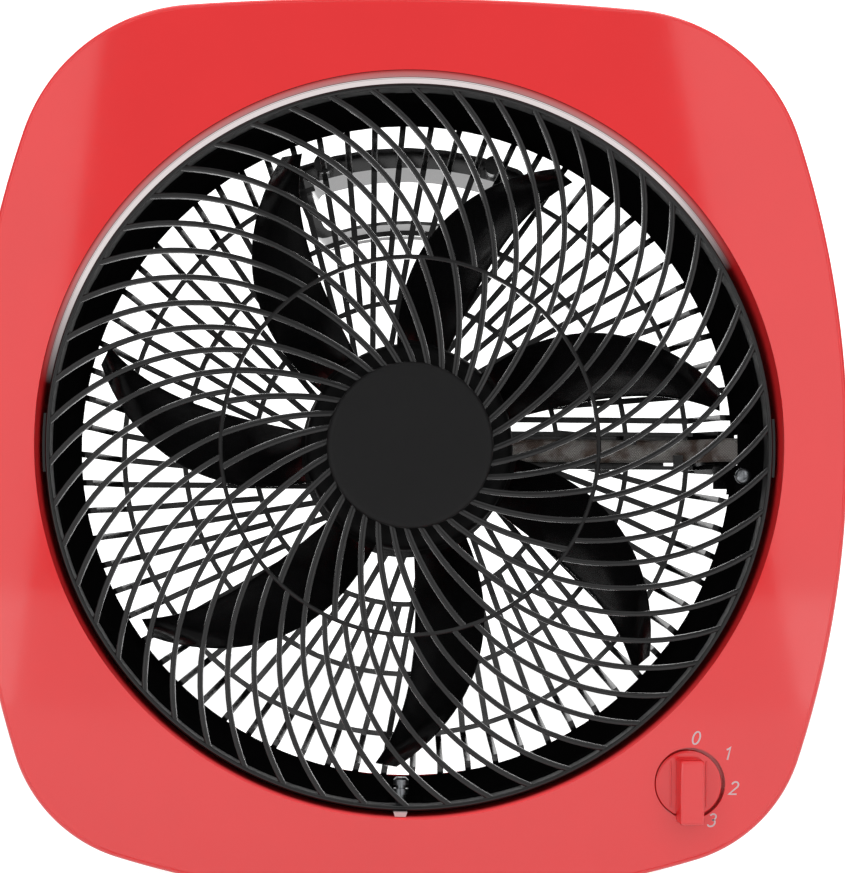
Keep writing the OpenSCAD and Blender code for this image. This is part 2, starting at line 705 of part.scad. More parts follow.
// ---------- impeller ----------
// Leading and trailing edge angles of a blade, against the share of the way from root to tip
// Blade edges as polar angles, the leading edge at the back and the trailing edge in front
function lead_a(k) = 18.5 - 2.2 * k - 7.1 * k * k * k;
function trail_a(k) = 48 - 16 * k - 16 * k * k - 3 * k * k * k;
function lead_d(k) = 50.5 - 5.5 * k;
function trail_d(k) = 25 + 9.5 * k;
blade_root_r = hub_r - 2;
chord_n = 6;
span_n = 9;
// Point of the blade's camber surface at span k and chord c, lifted by h towards the front
function blade_point(k, c, h) =
  let (
    r = blade_root_r + (blade_r - blade_root_r) * k,
    a = lead_a(k) + (trail_a(k) - lead_a(k)) * c,
    d = lead_d(k) + (trail_d(k) - lead_d(k)) * c + 2.2 * (1 - 0.5 * k) * sin(180 * c)
  ) [r * cos(a), r * sin(a), -d + h];
function blade_ring(k) = concat(
  [for (i = [0 : chord_n]) blade_point(k, i / chord_n, blade_t / 2 * (0.35 + 0.65 * sin(180 * i / chord_n)))],
  [for (i = [chord_n : -1 : 0]) blade_point(k, i / chord_n, -blade_t / 2 * (0.35 + 0.65 * sin(180 * i / chord_n)))]
);
module blade() { loft([for (j = [0 : span_n]) blade_ring(j / span_n)]); }

blade_a = 11.4 - 13.3;
module impeller() color(BLACK) on_axis() {
  difference() {
    union() {
      tube(hub_r, hub_r - 2.2, hub_d0 + 3, hub_d1);
      rotate_extrude() polygon([
        [0, -hub_d0], [hub_r - 5, -hub_d0], [hub_r - 1.5, -hub_d0 - 1.2], [hub_r, -hub_d0 - 4],
        [hub_r - 2.2, -hub_d0 - 4], [hub_r - 5.5, -hub_d0 - 2.4], [0, -hub_d0 - 2.4]
      ]);
      disc(9, hub_d0 + 1, hub_d1 - 4);
      around(6) translate([8, -0.8, -hub_d0 - 14]) cube([hub_r - 9, 1.6, 13]);
      around(blades, blade_a) blade();
    }
    disc(shaft_r + run_fit, 0, 80);
  }
}

nut_d0 = hub_d0 - 8.6;
module spinner_nut() color(BLACK) on_axis() difference() {
  union() {
    rotate_extrude() polygon([
      [0, -nut_d0], [6, -nut_d0 - 0.4], [9, -nut_d0 - 2], [10, -nut_d0 - 4.5], [11.5, -hub_d0 + 0.1], [0, -hub_d0 + 0.1]
    ]);
    around(6) translate([6, -1.2, -hub_d0 + 0.1]) cube([6, 2.4, 5]);
  }
  disc(shaft_r + run_fit, hub_d0 - 6, hub_d0 + 1);
}

// ---------- motor ----------
core_d0 = 69;
core_d1 = 83;
motor_d1 = grid_d0 - 0.1;
shell_t = 1.6;
motor_seam = 76;
bearing_r = 7;
lead_d = 86;
sleeve_y = 1;
shaft_d1 = motor_d1 - 2;
module at_motor_bolts() { around(4) translate([motor_r - 5, 0, 0]) children(); }

module motor_shaft() color(STEEL) on_axis() disc(shaft_r, hub_d0 - 5.5, shaft_d1);

module rotor_core() color(STEEL) on_axis() difference() {
  union() {
    disc(rotor_r, core_d0, core_d1);
    tube(rotor_r - 1, rotor_r - 5, core_d0 - 1.5, core_d1 + 1.5);
  }
  disc(shaft_r + run_fit, 0, 200);
  around(6, 15) translate([11, 0, 0]) disc(1.6, 0, 200);
}

module stator_core() color([0.45, 0.46, 0.48]) on_axis() difference() {
  disc(motor_r - shell_t - 0.1, core_d0, core_d1);
  disc(rotor_r + 0.4, 0, 200);
  around(4, 45) translate([rotor_r + 6, -6, -core_d1 - 1]) cube([6.5, 12, 30]);
  at_motor_bolts() disc(2.1, 0, 200);
}

module windings() color([0.72, 0.42, 0.2]) on_axis() around(4, 45) difference() {
  translate([rotor_r + 1.6, -8.5, -core_d1 - 4.5]) cube([10.6, 17, core_d1 - core_d0 + 9]);
  translate([rotor_r - 1, -9, -core_d1 - 0.1]) cube([7.2, 18, core_d1 - core_d0 + 0.2]);
  translate([rotor_r - 1, -5.8 - 6, -core_d1 - 0.1]) cube([20, 6, core_d1 - core_d0 + 0.2]);
  translate([rotor_r - 1, 5.8, -core_d1 - 0.1]) cube([20, 6, core_d1 - core_d0 + 0.2]);
}

// Pressed end shell of the motor, open towards d1, with a bearing seat in its middle
module end_shell(d0, d1) {
  s = d1 > d0 ? 1 : -1;
  lo = min(d0, d1);
  hi = max(d0, d1);
  difference() {
    union() {
      tube(motor_r, motor_r - shell_t, lo, hi);
      disc(motor_r, min(d0, d0 + s * shell_t), max(d0, d0 + s * shell_t));
      disc(bearing_r + 1.6, min(d0, d0 + s * 6), max(d0, d0 + s * 6));
    }
    disc(bearing_r + 0.05, min(d0 + s * 1.6, d0 + s * 9), max(d0 + s * 1.6, d0 + s * 9));
    disc(shaft_r + 0.5, 0, 200);
    at_motor_bolts() disc(2.1, 0, 200);
    around(8, 22.5) translate([14, -3, -(d0 > d1 ? d0 + 1 : d0 + shell_t + 1)]) cube([12, 6, shell_t + 2]);
  }
}
module motor_front_shell() color(STEEL) on_axis() end_shell(motor_d0, motor_seam - 0.05);
module motor_rear_shell() color(STEEL) on_axis() difference() {
  end_shell(motor_d1, motor_seam + 0.05);
  around(4, 45) translate([motor_screw_r, 0, 0]) disc(1.3, 0, 200);
  // way out for the leads
  translate([motor_r - 5, sleeve_y - 6, -lead_d - 3]) cube([8, 12, 6.5]);
}
module bearing(d0, d1) color([0.72, 0.56, 0.3]) on_axis() tube(bearing_r, shaft_r + run_fit, d0, d1);
module front_bearing() bearing(motor_d0 + 1.7, motor_d0 + 7.5);
module rear_bearing() bearing(motor_d1 - 7.5, motor_d1 - 1.7);
module motor_bolts() color(STEEL) on_axis() at_motor_bolts() {
  disc(1.9, motor_d0 - 2, motor_d1 + 0.05);
  translate([0, 0, -motor_d0 + 0.05]) cylinder(r = 3.4, h = 2.4, $fn = 6);
}
module motor_mount_screws() color(STEEL) on_axis()
  around(4, 45) translate([motor_screw_r, 0, 0]) back_screw(grid_d1 + 0.05, screw_head_r + 0.6, screw_r, 6);

// ---------- leads ----------
function lerp3(a, b, k) = a + (b - a) * k;
// Smooth curve through hand-chosen points
function spline(p, t) =
  let (
    n = len(p) - 1, i = min(floor(t), n - 1), u = t - i,
    a = p[max(i - 1, 0)], b = p[i], c = p[i + 1], d = p[min(i + 2, n)]
  ) 0.5 * (2 * b + (c - a) * u + (2 * a - 5 * b + 4 * c - d) * u * u + (3 * b - a - 3 * c + d) * u * u * u);
function unit(v) = v / norm(v);
// Tube along a spline, flat half width w along side vector and half thickness h across it
function tube_ring(p, t, w, h, side, n) =
  let (
    q = spline(p, t), e = unit(spline(p, min(t + 0.05, len(p) - 1)) - spline(p, max(t - 0.05, 0))),
    u = unit(side - (side * e) * e), v = cross(e, u)
  ) [for (i = [0 : n - 1]) let (a = 360 * i / n) q + w * cos(a) * u + h * sin(a) * v];
module swept(p, w, h, side, steps, n) {
  loft([for (j = [0 : steps]) tube_ring(p, (len(p) - 1) * j / steps, w, h, side, n)]);
}

sleeve_path = [
  [36, sleeve_y, -lead_d], [60, sleeve_y, -86.5], [90, sleeve_y, -86.5], [108, sleeve_y, -85],
  [117.5, sleeve_y, -76], [123, sleeve_y, -66], [128.5, sleeve_y, -58], [137, sleeve_y, -52]
];
module lead_sleeve() color([0.75, 0.74, 0.72]) on_axis() swept(sleeve_path, 4.6, 1.5, [0, 1, 0], 22, 10);
wire_path = [
  [137.2, sleeve_y, -51.4], [142, 0, -47], [147.5, -14, -43], [147, -32, -39],
  [139, -58, -36], [128, -84, -35], [117, -108, -35]
];
wire_gap = 2.5;
// The leads lie side by side at the sleeve and one behind the other on their way down to the terminals
wire_side = [[0, 0.86, 0], [0, 0.5, 0.9], [0, 0.24, 0.97], [0, 0.16, 0.98], [0, 0, 1], [0, 0, 1], [0.2, 0, 1]];
function wire_points(i) = concat(
  [for (j = [0 : len(wire_path) - 1]) wire_path[j] + (i - 1.5) * wire_gap * wire_side[j]],
  [[knob_x - 10.1 + i * 6, -knob_drop + 1.5, -switch_d0 - 22]]
);
lead_colours = [[0.75, 0.1, 0.1], [0.1, 0.1, 0.1], [0.85, 0.85, 0.85], [0.1, 0.2, 0.6]];
module lead_wires() on_axis() for (i = [0 : 3]) color(lead_colours[i])
  swept(wire_points(i), 0.9, 0.9, [0.3, 0.2, 1], 18, 8);

// ---------- switch and knob ----------
switch_d0 = recess_d + 1.85;
knob_back_d = recess_d - 2;
module rotary_switch() color([0.82, 0.8, 0.74]) on_axis() at_knob() difference() {
  union() {
    translate([-14, -13, -switch_d0 - 16]) cube([28, 26, 16]);
    disc(switch_hole_r - 0.15, knob_back_d + 0.4, switch_d0 + 1);
    for (i = [0 : 3]) translate([-10.5 + i * 6, -2, -switch_d0 - 21]) cube([0.8, 4, 6]);
  }
  disc(3 + run_fit, -10, switch_d0 + 14);
}
module switch_shaft() color(STEEL) on_axis() at_knob() disc(3, -grip_out + 4, switch_d0 + 13);
module switch_nut() color(STEEL) on_axis() at_knob() difference() {
  translate([0, 0, -recess_d + 0.05]) cylinder(r = 7, h = 1.7, $fn = 6);
  disc(switch_hole_r, -10, 20);
}

grip_top = 9.6;
grip_bottom = 14.2;
module speed_knob() color(RED) on_axis() at_knob() difference() {
  union() {
    rotate_extrude() polygon([
      [0, -knob_disc_d], [knob_r - 0.5, -knob_disc_d], [knob_r, -knob_disc_d - 0.5], [knob_r, -knob_back_d], [0, -knob_back_d]
    ]);
    hull() {
      translate([-grip_w / 2 - 0.5, -grip_bottom, 0.7]) cube([grip_w + 1, grip_bottom + grip_top + 1.2, 0.4]);
      translate([-grip_w / 2, -grip_bottom + 0.3, grip_out - 1])
        cube([grip_w, grip_bottom + grip_top - 0.3, 0.2]);
      translate([-grip_w / 2 + 0.8, -grip_bottom + 1, grip_out - 0.4])
        cube([grip_w - 1.6, grip_bottom + grip_top - 1.8, 0.4]);
    }
    translate([-grip_w / 2 - 0.5, -11.4, -knob_disc_d - 1]) cube([grip_w + 1, 22, 2]);
    for (s = [-1, 1]) translate([s * (grip_w / 2 + 2.2) - 0.3, -8.6, -knob_disc_d - 0.5]) cube([0.6, 17.2, 0.9]);
  }
  translate([0, 0, -10]) cylinder(r = 3 + run_fit, h = 10 + grip_out - 3.5);
}

// ---------- feet ----------
pad_h = 2;
foot_d = [12, 88];
module foot(side) color(RED) on_axis() difference() {
  translate([side * foot_x, -axis_z, 0]) slab(foot_d[0], foot_d[1]) polygon([
    [-foot_w / 2 + 2, pad_h], [foot_w / 2 - 2, pad_h], [foot_w / 2, pad_h + 2],
    [foot_w / 2 + 2, foot_top + 8], [-foot_w / 2 - 2, foot_top + 8], [-foot_w / 2, pad_h + 2]
  ]);
  case_slab(-0.05, 0, case_d);
  for (d = foot_screw_d) at_foot_screw(side, d) {
    cylinder(r = 1.8, h = 40);
    cylinder(r = 3.6, h = foot_top - 3.5);
  }
}
module left_foot() foot(-1);
module right_foot() foot(1);
module foot_pads() color(BLACK) on_axis()
  for (s = [-1, 1], d = [50 - 13, 50 + 13]) translate([s * foot_x, -axis_z, -d]) rotate([-90, 0, 0])
    difference() {
      cylinder(r = 9, h = pad_h - 0.05);
      translate([0, 0, -1]) cylinder(r = 3, h = 1.6);
    }
module foot_screws() color(STEEL) on_axis()
  for (s = [-1, 1], d = foot_screw_d) at_foot_screw(s, d) translate([0, 0, foot_top - 3.55]) mirror([0, 0, 1])
    pan_screw(screw_head_r, screw_r, 9.5);

front_housing();
rear_housing();
front_grille();
grille_cap();
grille_lock_screw();
grille_latch();
air_duct();
duct_screws();
rear_grille();
carry_handle();
handle_screws();
impeller();
spinner_nut();
motor_shaft();
rotor_core();
stator_core();
windings();
motor_front_shell();
motor_rear_shell();
front_bearing();
rear_bearing();
motor_bolts();
motor_mount_screws();
lead_sleeve();
lead_wires();
channel_screw();
rotary_switch();
switch_shaft();
switch_nut();
speed_knob();
housing_screws();
rear_grille_screws();
left_foot();
right_foot();
foot_pads();
foot_screws();
cord_bushing();
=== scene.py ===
import json
import math

import bmesh
import bpy
from bpy.props import FloatProperty, FloatVectorProperty, IntProperty, PointerProperty
from bpy.types import Operator, Panel, PropertyGroup
from mathutils import Matrix, Vector


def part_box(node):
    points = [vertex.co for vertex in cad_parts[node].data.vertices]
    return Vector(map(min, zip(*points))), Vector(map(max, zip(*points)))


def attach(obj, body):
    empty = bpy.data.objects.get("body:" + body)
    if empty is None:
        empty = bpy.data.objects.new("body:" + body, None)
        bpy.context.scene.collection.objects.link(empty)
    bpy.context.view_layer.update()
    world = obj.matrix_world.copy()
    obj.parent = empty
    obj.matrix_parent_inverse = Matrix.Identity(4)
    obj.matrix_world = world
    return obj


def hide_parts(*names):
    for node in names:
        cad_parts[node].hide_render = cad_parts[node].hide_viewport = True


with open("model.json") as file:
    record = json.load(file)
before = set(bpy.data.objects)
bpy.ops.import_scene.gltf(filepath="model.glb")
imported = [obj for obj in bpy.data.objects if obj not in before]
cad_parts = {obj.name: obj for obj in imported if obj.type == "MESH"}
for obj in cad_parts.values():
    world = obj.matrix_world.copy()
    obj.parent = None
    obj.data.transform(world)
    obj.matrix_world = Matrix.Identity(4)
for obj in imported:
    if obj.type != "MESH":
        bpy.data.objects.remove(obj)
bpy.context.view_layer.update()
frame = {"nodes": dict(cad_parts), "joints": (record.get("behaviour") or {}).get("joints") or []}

bl_info = {
    "name": "Box Fan",
    "version": (1, 0, 0),
    "blender": (4, 5, 0),
    "location": "3D View > Sidebar > Fan",
    "description": "Dresses the packed box fan: casing, spiral grille, impeller, knob, finishes and studio",
    "category": "Object",
}

MM = 0.001
SHELL_LOW, SHELL_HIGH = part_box("front_housing")
JOINT_AT = {j["name"]: j["pos_m"] for j in frame["joints"]}
AXIS_UP = JOINT_AT["impeller_spin"][2]
KNOB_X = JOINT_AT["knob_turn"][0]
KNOB_UP = JOINT_AT["knob_turn"][2] - AXIS_UP
FACE = SHELL_LOW[1]


def at(x, up, depth):
    """A point x to the right of the fan's axis, up above it and depth behind the front face."""
    return Vector((x, FACE + depth, AXIS_UP + up))


def around(centre, radius, angle, depth):
    """A point at that radius and angle round a place (x, up) on the face."""
    return at(centre[0] + radius * math.cos(angle), centre[1] + radius * math.sin(angle), depth)


def polar(radius, angle, depth):
    """A point at that radius and angle round the fan's axis."""
    return around((0, 0), radius, angle, depth)


def depth_of(node):
    """Depths of a CAD node's front and back ends behind the front face."""
    low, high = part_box(node)
    return low[1] - FACE, high[1] - FACE


def half_width(node):
    """Half of a CAD node's width."""
    low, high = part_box(node)
    return (high[0] - low[0]) / 2


# ---------- sizes and finishes that a user would change ----------

class CasingSizes(PropertyGroup):
    side_bow: FloatProperty(
        name="Side bow", description="Bow radius of the two sides", default=0.378, unit="LENGTH"
    )
    top_bow: FloatProperty(
        name="Top bow", description="Bow radius of the top edge", default=1.06, unit="LENGTH"
    )
    bottom_bow: FloatProperty(
        name="Bottom bow", description="Bow radius of the bottom edge", default=0.375, unit="LENGTH"
    )
    top_corner: FloatProperty(
        name="Top corners", description="Radius of the top corners", default=0.0705, unit="LENGTH"
    )
    bottom_corner: FloatProperty(
        name="Bottom corners", description="Radius of the bottom corners", default=0.058, unit="LENGTH"
    )
    wall: FloatProperty(
        name="Wall", description="Wall thickness of the shells", default=0.0024, unit="LENGTH"
    )
    edge_in: FloatProperty(
        name="Edge width", description="Width of the rounded front edge", default=0.0015, unit="LENGTH"
    )
    edge_depth: FloatProperty(
        name="Edge depth", description="Depth of the rounded front edge", default=0.0026, unit="LENGTH"
    )
    mouth: FloatProperty(
        name="Mouth", description="Radius of the round opening at the front face",
        default=0.141, unit="LENGTH"
    )
    mouth_taper: FloatProperty(
        name="Throat taper", description="How much the throat narrows inwards", default=0.0022, unit="LENGTH"
    )
    throat: FloatProperty(name="Throat", description="Depth of the throat", default=0.018, unit="LENGTH")


class GrilleSizes(PropertyGroup):
    outer_bars: IntProperty(name="Outer bars", description="Number of outer spiral bars", default=54, min=3)
    inner_bars: IntProperty(name="Inner bars", description="Number of inner spiral bars", default=36, min=3)
    outer_width: FloatProperty(
        name="Outer width", description="Width of the outer bars", default=0.0021, unit="LENGTH"
    )
    inner_width: FloatProperty(
        name="Inner width", description="Width of the inner bars", default=0.0024, unit="LENGTH"
    )
    bar_front: FloatProperty(
        name="Bar depth", description="Depth of the bars' front behind the face",
        default=0.0062, unit="LENGTH"
    )
    bar_height: FloatProperty(
        name="Bar height", description="Size of the bars from front to back", default=0.004, unit="LENGTH"
    )
    middle_ring: FloatProperty(
        name="Middle ring", description="Radius of the ring between outer and inner bars",
        default=0.0714, unit="LENGTH"
    )
    outer_curve: FloatProperty(
        name="Outer curve", description="Radius of curvature of the outer bars", default=0.0918, unit="LENGTH"
    )
    outer_throw: FloatProperty(
        name="Outer throw", description="Distance of their centres from the axis",
        default=0.0898, unit="LENGTH"
    )
    inner_curve: FloatProperty(
        name="Inner curve", description="Radius of curvature of the inner bars", default=0.12, unit="LENGTH"
    )
    inner_throw: FloatProperty(
        name="Inner throw", description="Distance of their centres from the axis",
        default=0.1118, unit="LENGTH"
    )
    first_bar: FloatProperty(
        name="First bar", description="Angle at which the bars cross the middle ring",
        default=math.radians(-2.9), subtype="ANGLE", unit="ROTATION"
    )
    rim: FloatProperty(name="Rim", description="Thickness of the rim", default=0.0018, unit="LENGTH")


class ImpellerSizes(PropertyGroup):
    blades: IntProperty(name="Blades", description="Number of blades", default=7, min=2)
    first_blade: FloatProperty(
        name="First blade", description="Angle that the first blade is turned by", default=math.radians(-1.9),
        subtype="ANGLE", unit="ROTATION"
    )
    tip: FloatProperty(
        name="Blade tips", description="Radius of the blades' tips", default=0.1233, unit="LENGTH"
    )
    thick: FloatProperty(
        name="Thickness", description="Thickness of a blade's middle", default=0.002, unit="LENGTH"
    )
    hub: FloatProperty(name="Hub", description="Radius of the hub", default=0.04, unit="LENGTH")
    hub_wall: FloatProperty(
        name="Hub wall", description="Thickness of the hub's wall", default=0.0022, unit="LENGTH"
    )
    hub_back: FloatProperty(
        name="Hub depth", description="Depth of the hub's back behind the face", default=0.052, unit="LENGTH"
    )


class KnobSizes(PropertyGroup):
    grip_width: FloatProperty(
        name="Grip width", description="Width of the knob's grip", default=0.009, unit="LENGTH"
    )
    grip_up: FloatProperty(
        name="Grip up", description="Reach of the grip above the knob's middle", default=0.0096, unit="LENGTH"
    )
    grip_down: FloatProperty(
        name="Grip down", description="Reach of the grip below the knob's middle",
        default=0.0142, unit="LENGTH"
    )
    disc_front: FloatProperty(
        name="Disc depth", description="Depth of the knob's disc behind the face",
        default=0.0014, unit="LENGTH"
    )
    gap: FloatProperty(
        name="Recess gap", description="Gap between the knob and its recess's wall",
        default=0.00075, unit="LENGTH"
    )
    recess_shift: FloatProperty(
        name="Recess shift", description="How far the recess lies to the right and up of the knob's middle",
        default=0.00035, unit="LENGTH"
    )
    recess_depth: FloatProperty(
        name="Recess depth", description="Depth of the recess behind the face", default=0.0046, unit="LENGTH"
    )


class FanFinishes(PropertyGroup):
    red: FloatVectorProperty(
        name="Casing red", description="Colour of the shells and the knob", subtype="COLOR",
        default=(0.76, 0.027, 0.03)
    )
    grille: FloatVectorProperty(
        name="Grille grey", description="Colour of the front grille", subtype="COLOR",
        default=(0.009, 0.009, 0.0092)
    )
    cap: FloatVectorProperty(
        name="Cap grey", description="Colour of the centre cap", subtype="COLOR",
        default=(0.006, 0.006, 0.0062)
    )
    black: FloatVectorProperty(
        name="Black", description="Colour of the duct, blades and rear grille", subtype="COLOR",
        default=(0.004, 0.004, 0.0042)
    )


class StudioSettings(PropertyGroup):
    lens: FloatProperty(name="Lens", description="Focal length of the camera", default=110.07, unit="CAMERA")
    distance: FloatProperty(
        name="Distance", description="Distance of the camera in front of the face",
        default=0.9992, unit="LENGTH"
    )
    camera_x: FloatProperty(
        name="Camera right", description="Camera's place right of the fan's axis",
        default=-0.01836, unit="LENGTH"
    )
    camera_up: FloatProperty(
        name="Camera up", description="Camera's height above the fan's axis", default=-0.03554, unit="LENGTH"
    )
    key: FloatProperty(name="Key", description="Strength of each side softbox in watts", default=8.5)
    top: FloatProperty(name="Top", description="Strength of the top softbox in watts", default=8.0)
    ambient: FloatProperty(name="Ambient", description="Brightness of the room", default=0.45)


# ---------- mesh tools ----------

def skin(loops, close_ends=False, cap_ends=False):
    """A mesh through closed rows of points, row to row, whose ends are left open, joined or capped."""
    bm = bmesh.new()
    rows = [[bm.verts.new(p) for p in loop] for loop in loops]
    count = len(rows[0])
    pairs = list(zip(rows, rows[1:]))
    if close_ends:
        pairs.append((rows[-1], rows[0]))
    for a, b in pairs:
        for i in range(count):
            j = (i + 1) % count
            bm.faces.new((a[i], a[j], b[j], b[i]))
    if cap_ends:
        bm.faces.new(list(reversed(rows[0])))
        bm.faces.new(rows[-1])
    bmesh.ops.recalc_face_normals(bm, faces=bm.faces[:])
    return bm


def join(parts):
    """Puts several meshes into one."""
    whole = bmesh.new()
    for part in parts:
        mesh = bpy.data.meshes.new("part")
        part.to_mesh(mesh)
        part.free()
        whole.from_mesh(mesh)
        bpy.data.meshes.remove(mesh)
    return whole


def finish_piece(bm, name, material, sharp=30):
    """Turns a bmesh into a smooth shaded object with sharp edges where it turns by more than that angle."""
    mesh = bpy.data.meshes.new(name)
    bm.to_mesh(mesh)
    bm.free()
    mesh.polygons.foreach_set("use_smooth", [True] * len(mesh.polygons))
    mesh.set_sharp_from_angle(angle=math.radians(sharp))
    mesh.materials.append(material)
    piece = bpy.data.objects.new(name, mesh)
    bpy.context.scene.collection.objects.link(piece)
    return piece


def dull_inside(piece, material, low, high):
    """Gives a second material to the faces that lie between two distances from the fan's axis."""
    piece.data.materials.append(material)
    for face in piece.data.polygons:
        if low < math.hypot(face.center.x, face.center.z - AXIS_UP) < high:
            face.material_index = 1


def turned(profile, steps):
    """Revolves a closed profile of (radius, depth) round the fan's axis."""
    loops = [[polar(r, 2 * math.pi * i / steps, d) for r, d in profile] for i in range(steps)]
    return skin(loops, close_ends=True)


def turned_solid(profile, steps, centre=(0, 0)):
    """Revolves a profile of (radius, depth), whose ends are in the middle, round the fan's axis or centre."""
    loops = [[around(centre, r, 2 * math.pi * i / steps, d) for i in range(steps)] for r, d in profile[1:-1]]
    bm = skin(loops)
    for row, (_, depth) in ((0, profile[0]), (len(loops) - 1, profile[-1])):
        middle = bm.verts.new(at(*centre, depth))
        bm.verts.ensure_lookup_table()
        ring = bm.verts[row * steps:(row + 1) * steps]
        for i in range(steps):
            bm.faces.new((ring[i], ring[(i + 1) % steps], middle))
    bmesh.ops.recalc_face_normals(bm, faces=bm.faces[:])
    return bm


def cut_with(piece, tool, operation):
    """Joins a tool to a piece or cuts it out of it, and removes the tool."""
    change = piece.modifiers.new(operation.title(), "BOOLEAN")
    change.object = tool
    change.operation = operation
    change.solver = "EXACT"
    with bpy.context.temp_override(object=piece, active_object=piece, selected_objects=[piece]):
        bpy.ops.object.modifier_apply(modifier=change.name)
    bpy.data.objects.remove(tool)
    piece.data.polygons.foreach_set("use_smooth", [True] * len(piece.data.polygons))
    piece.data.set_sharp_from_angle(angle=math.radians(40))


# ---------- materials ----------

def shader(name):
    """A new node material with its Principled shader and its object coordinates."""
    material = bpy.data.materials.new(name)
    material.use_nodes = True
    nodes = material.node_tree.nodes
    place = nodes.new("ShaderNodeTexCoord").outputs["Object"]
    return material, material.node_tree, nodes["Principled BSDF"], place


def feed(tree, socket, value):
    """Links a value into a socket, or sets it there where it is a plain number or colour."""
    if isinstance(value, bpy.types.NodeSocket):
        tree.links.new(value, socket)
    else:
        socket.default_value = value


def sums(tree, operation, *values):
    """A math node over sockets and numbers."""
    node = tree.nodes.new("ShaderNodeMath")
    node.operation = operation
    for socket, value in zip(node.inputs, values):
        feed(tree, socket, value)
    return node.outputs[0]


def mix_colours(tree, factor, start, end, blend="MIX"):
    """Runs from one colour to another as the factor rises, or blends them in another way."""
    node = tree.nodes.new("ShaderNodeMix")
    node.data_type = "RGBA"
    node.blend_type = blend
    for socket, value in ((node.inputs["Factor"], factor), (node.inputs[6], start), (node.inputs[7], end)):
        feed(tree, socket, value)
    return node.outputs[2]


def noise(tree, place, scale, detail=3.0):
    """Noise over the object's own coordinates, scale in grains per metre."""
    node = tree.nodes.new("ShaderNodeTexNoise")
    node.inputs["Scale"].default_value = scale
    node.inputs["Detail"].default_value = detail
    tree.links.new(place, node.inputs["Vector"])
    return node.outputs["Fac"]


def spread(tree, value, low, high, start=0.3, end=0.7):
    """Maps a value between start and end to the range from low to high."""
    node = tree.nodes.new("ShaderNodeMapRange")
    node.inputs["From Min"].default_value = start
    node.inputs["From Max"].default_value = end
    node.inputs["To Min"].default_value = low
    node.inputs["To Max"].default_value = high
    tree.links.new(value, node.inputs["Value"])
    return node.outputs["Result"]


def tint(tree, value, low, high, start=0.3, end=0.7):
    """Runs from one colour to another as a value rises."""
    ramp = tree.nodes.new("ShaderNodeValToRGB")
    ramp.color_ramp.elements[0].position = start
    ramp.color_ramp.elements[1].position = end
    ramp.color_ramp.elements[0].color = (*low, 1)
    ramp.color_ramp.elements[1].color = (*high, 1)
    tree.links.new(value, ramp.inputs["Fac"])
    return ramp.outputs["Color"]


def relief(tree, value, depth):
    """A bump of that depth in metres from a value."""
    bump = tree.nodes.new("ShaderNodeBump")
    bump.inputs["Distance"].default_value = depth
    tree.links.new(value, bump.inputs["Height"])
    return bump.outputs["Normal"]


def moulded_plastic(
    name, colour, rough, gloss=0.5, grain=1800, relief_depth=0.00001, vary=0.06, rough_vary=0.05, ior=1.49
):
    """Moulded plastic: slight flow marks in its colour and gloss, and a fine grain."""
    material, tree, body, place = shader(name)
    flow = noise(tree, place, 22, 4)
    body.inputs["IOR"].default_value = ior
    body.inputs["Specular IOR Level"].default_value = gloss
    dark = tuple(c * (1 - vary) for c in colour)
    light = tuple(min(1, c * (1 + vary)) for c in colour)
    tree.links.new(tint(tree, flow, dark, light), body.inputs["Base Color"])
    patches = noise(tree, place, 160)
    tree.links.new(spread(tree, patches, rough - rough_vary, rough + rough_vary), body.inputs["Roughness"])
    tree.links.new(relief(tree, noise(tree, place, grain, 2), relief_depth), body.inputs["Normal"])
    return material


# Gloss of the shells and the knob
CASING_GLOSS = {"rough": 0.055, "grain": 700, "relief_depth": 0.0000015, "vary": 0.02, "rough_vary": 0.012}
# Painted light that the throat's top glows in, a pale painted crescent: depth as a share of THROAT_END, and
# colour there
THROAT_PAINTED_LIGHT = (
    (0.02, (0, 0, 0)), (0.08, (0.3, 0.03, 0.03)), (0.24, (0.42, 0.13, 0.13)), (0.53, (0.4, 0.2, 0.2)),
    (0.58, (0.02, 0.01, 0.01)), (0.61, (0.8, 0.78, 0.78)), (0.64, (0.8, 0.78, 0.78)),
    (0.66, (0.1, 0.08, 0.08)), (0.69, (0.74, 0.68, 0.68)), (1.0, (0.74, 0.68, 0.68))
)
THROAT_END = 16 * MM


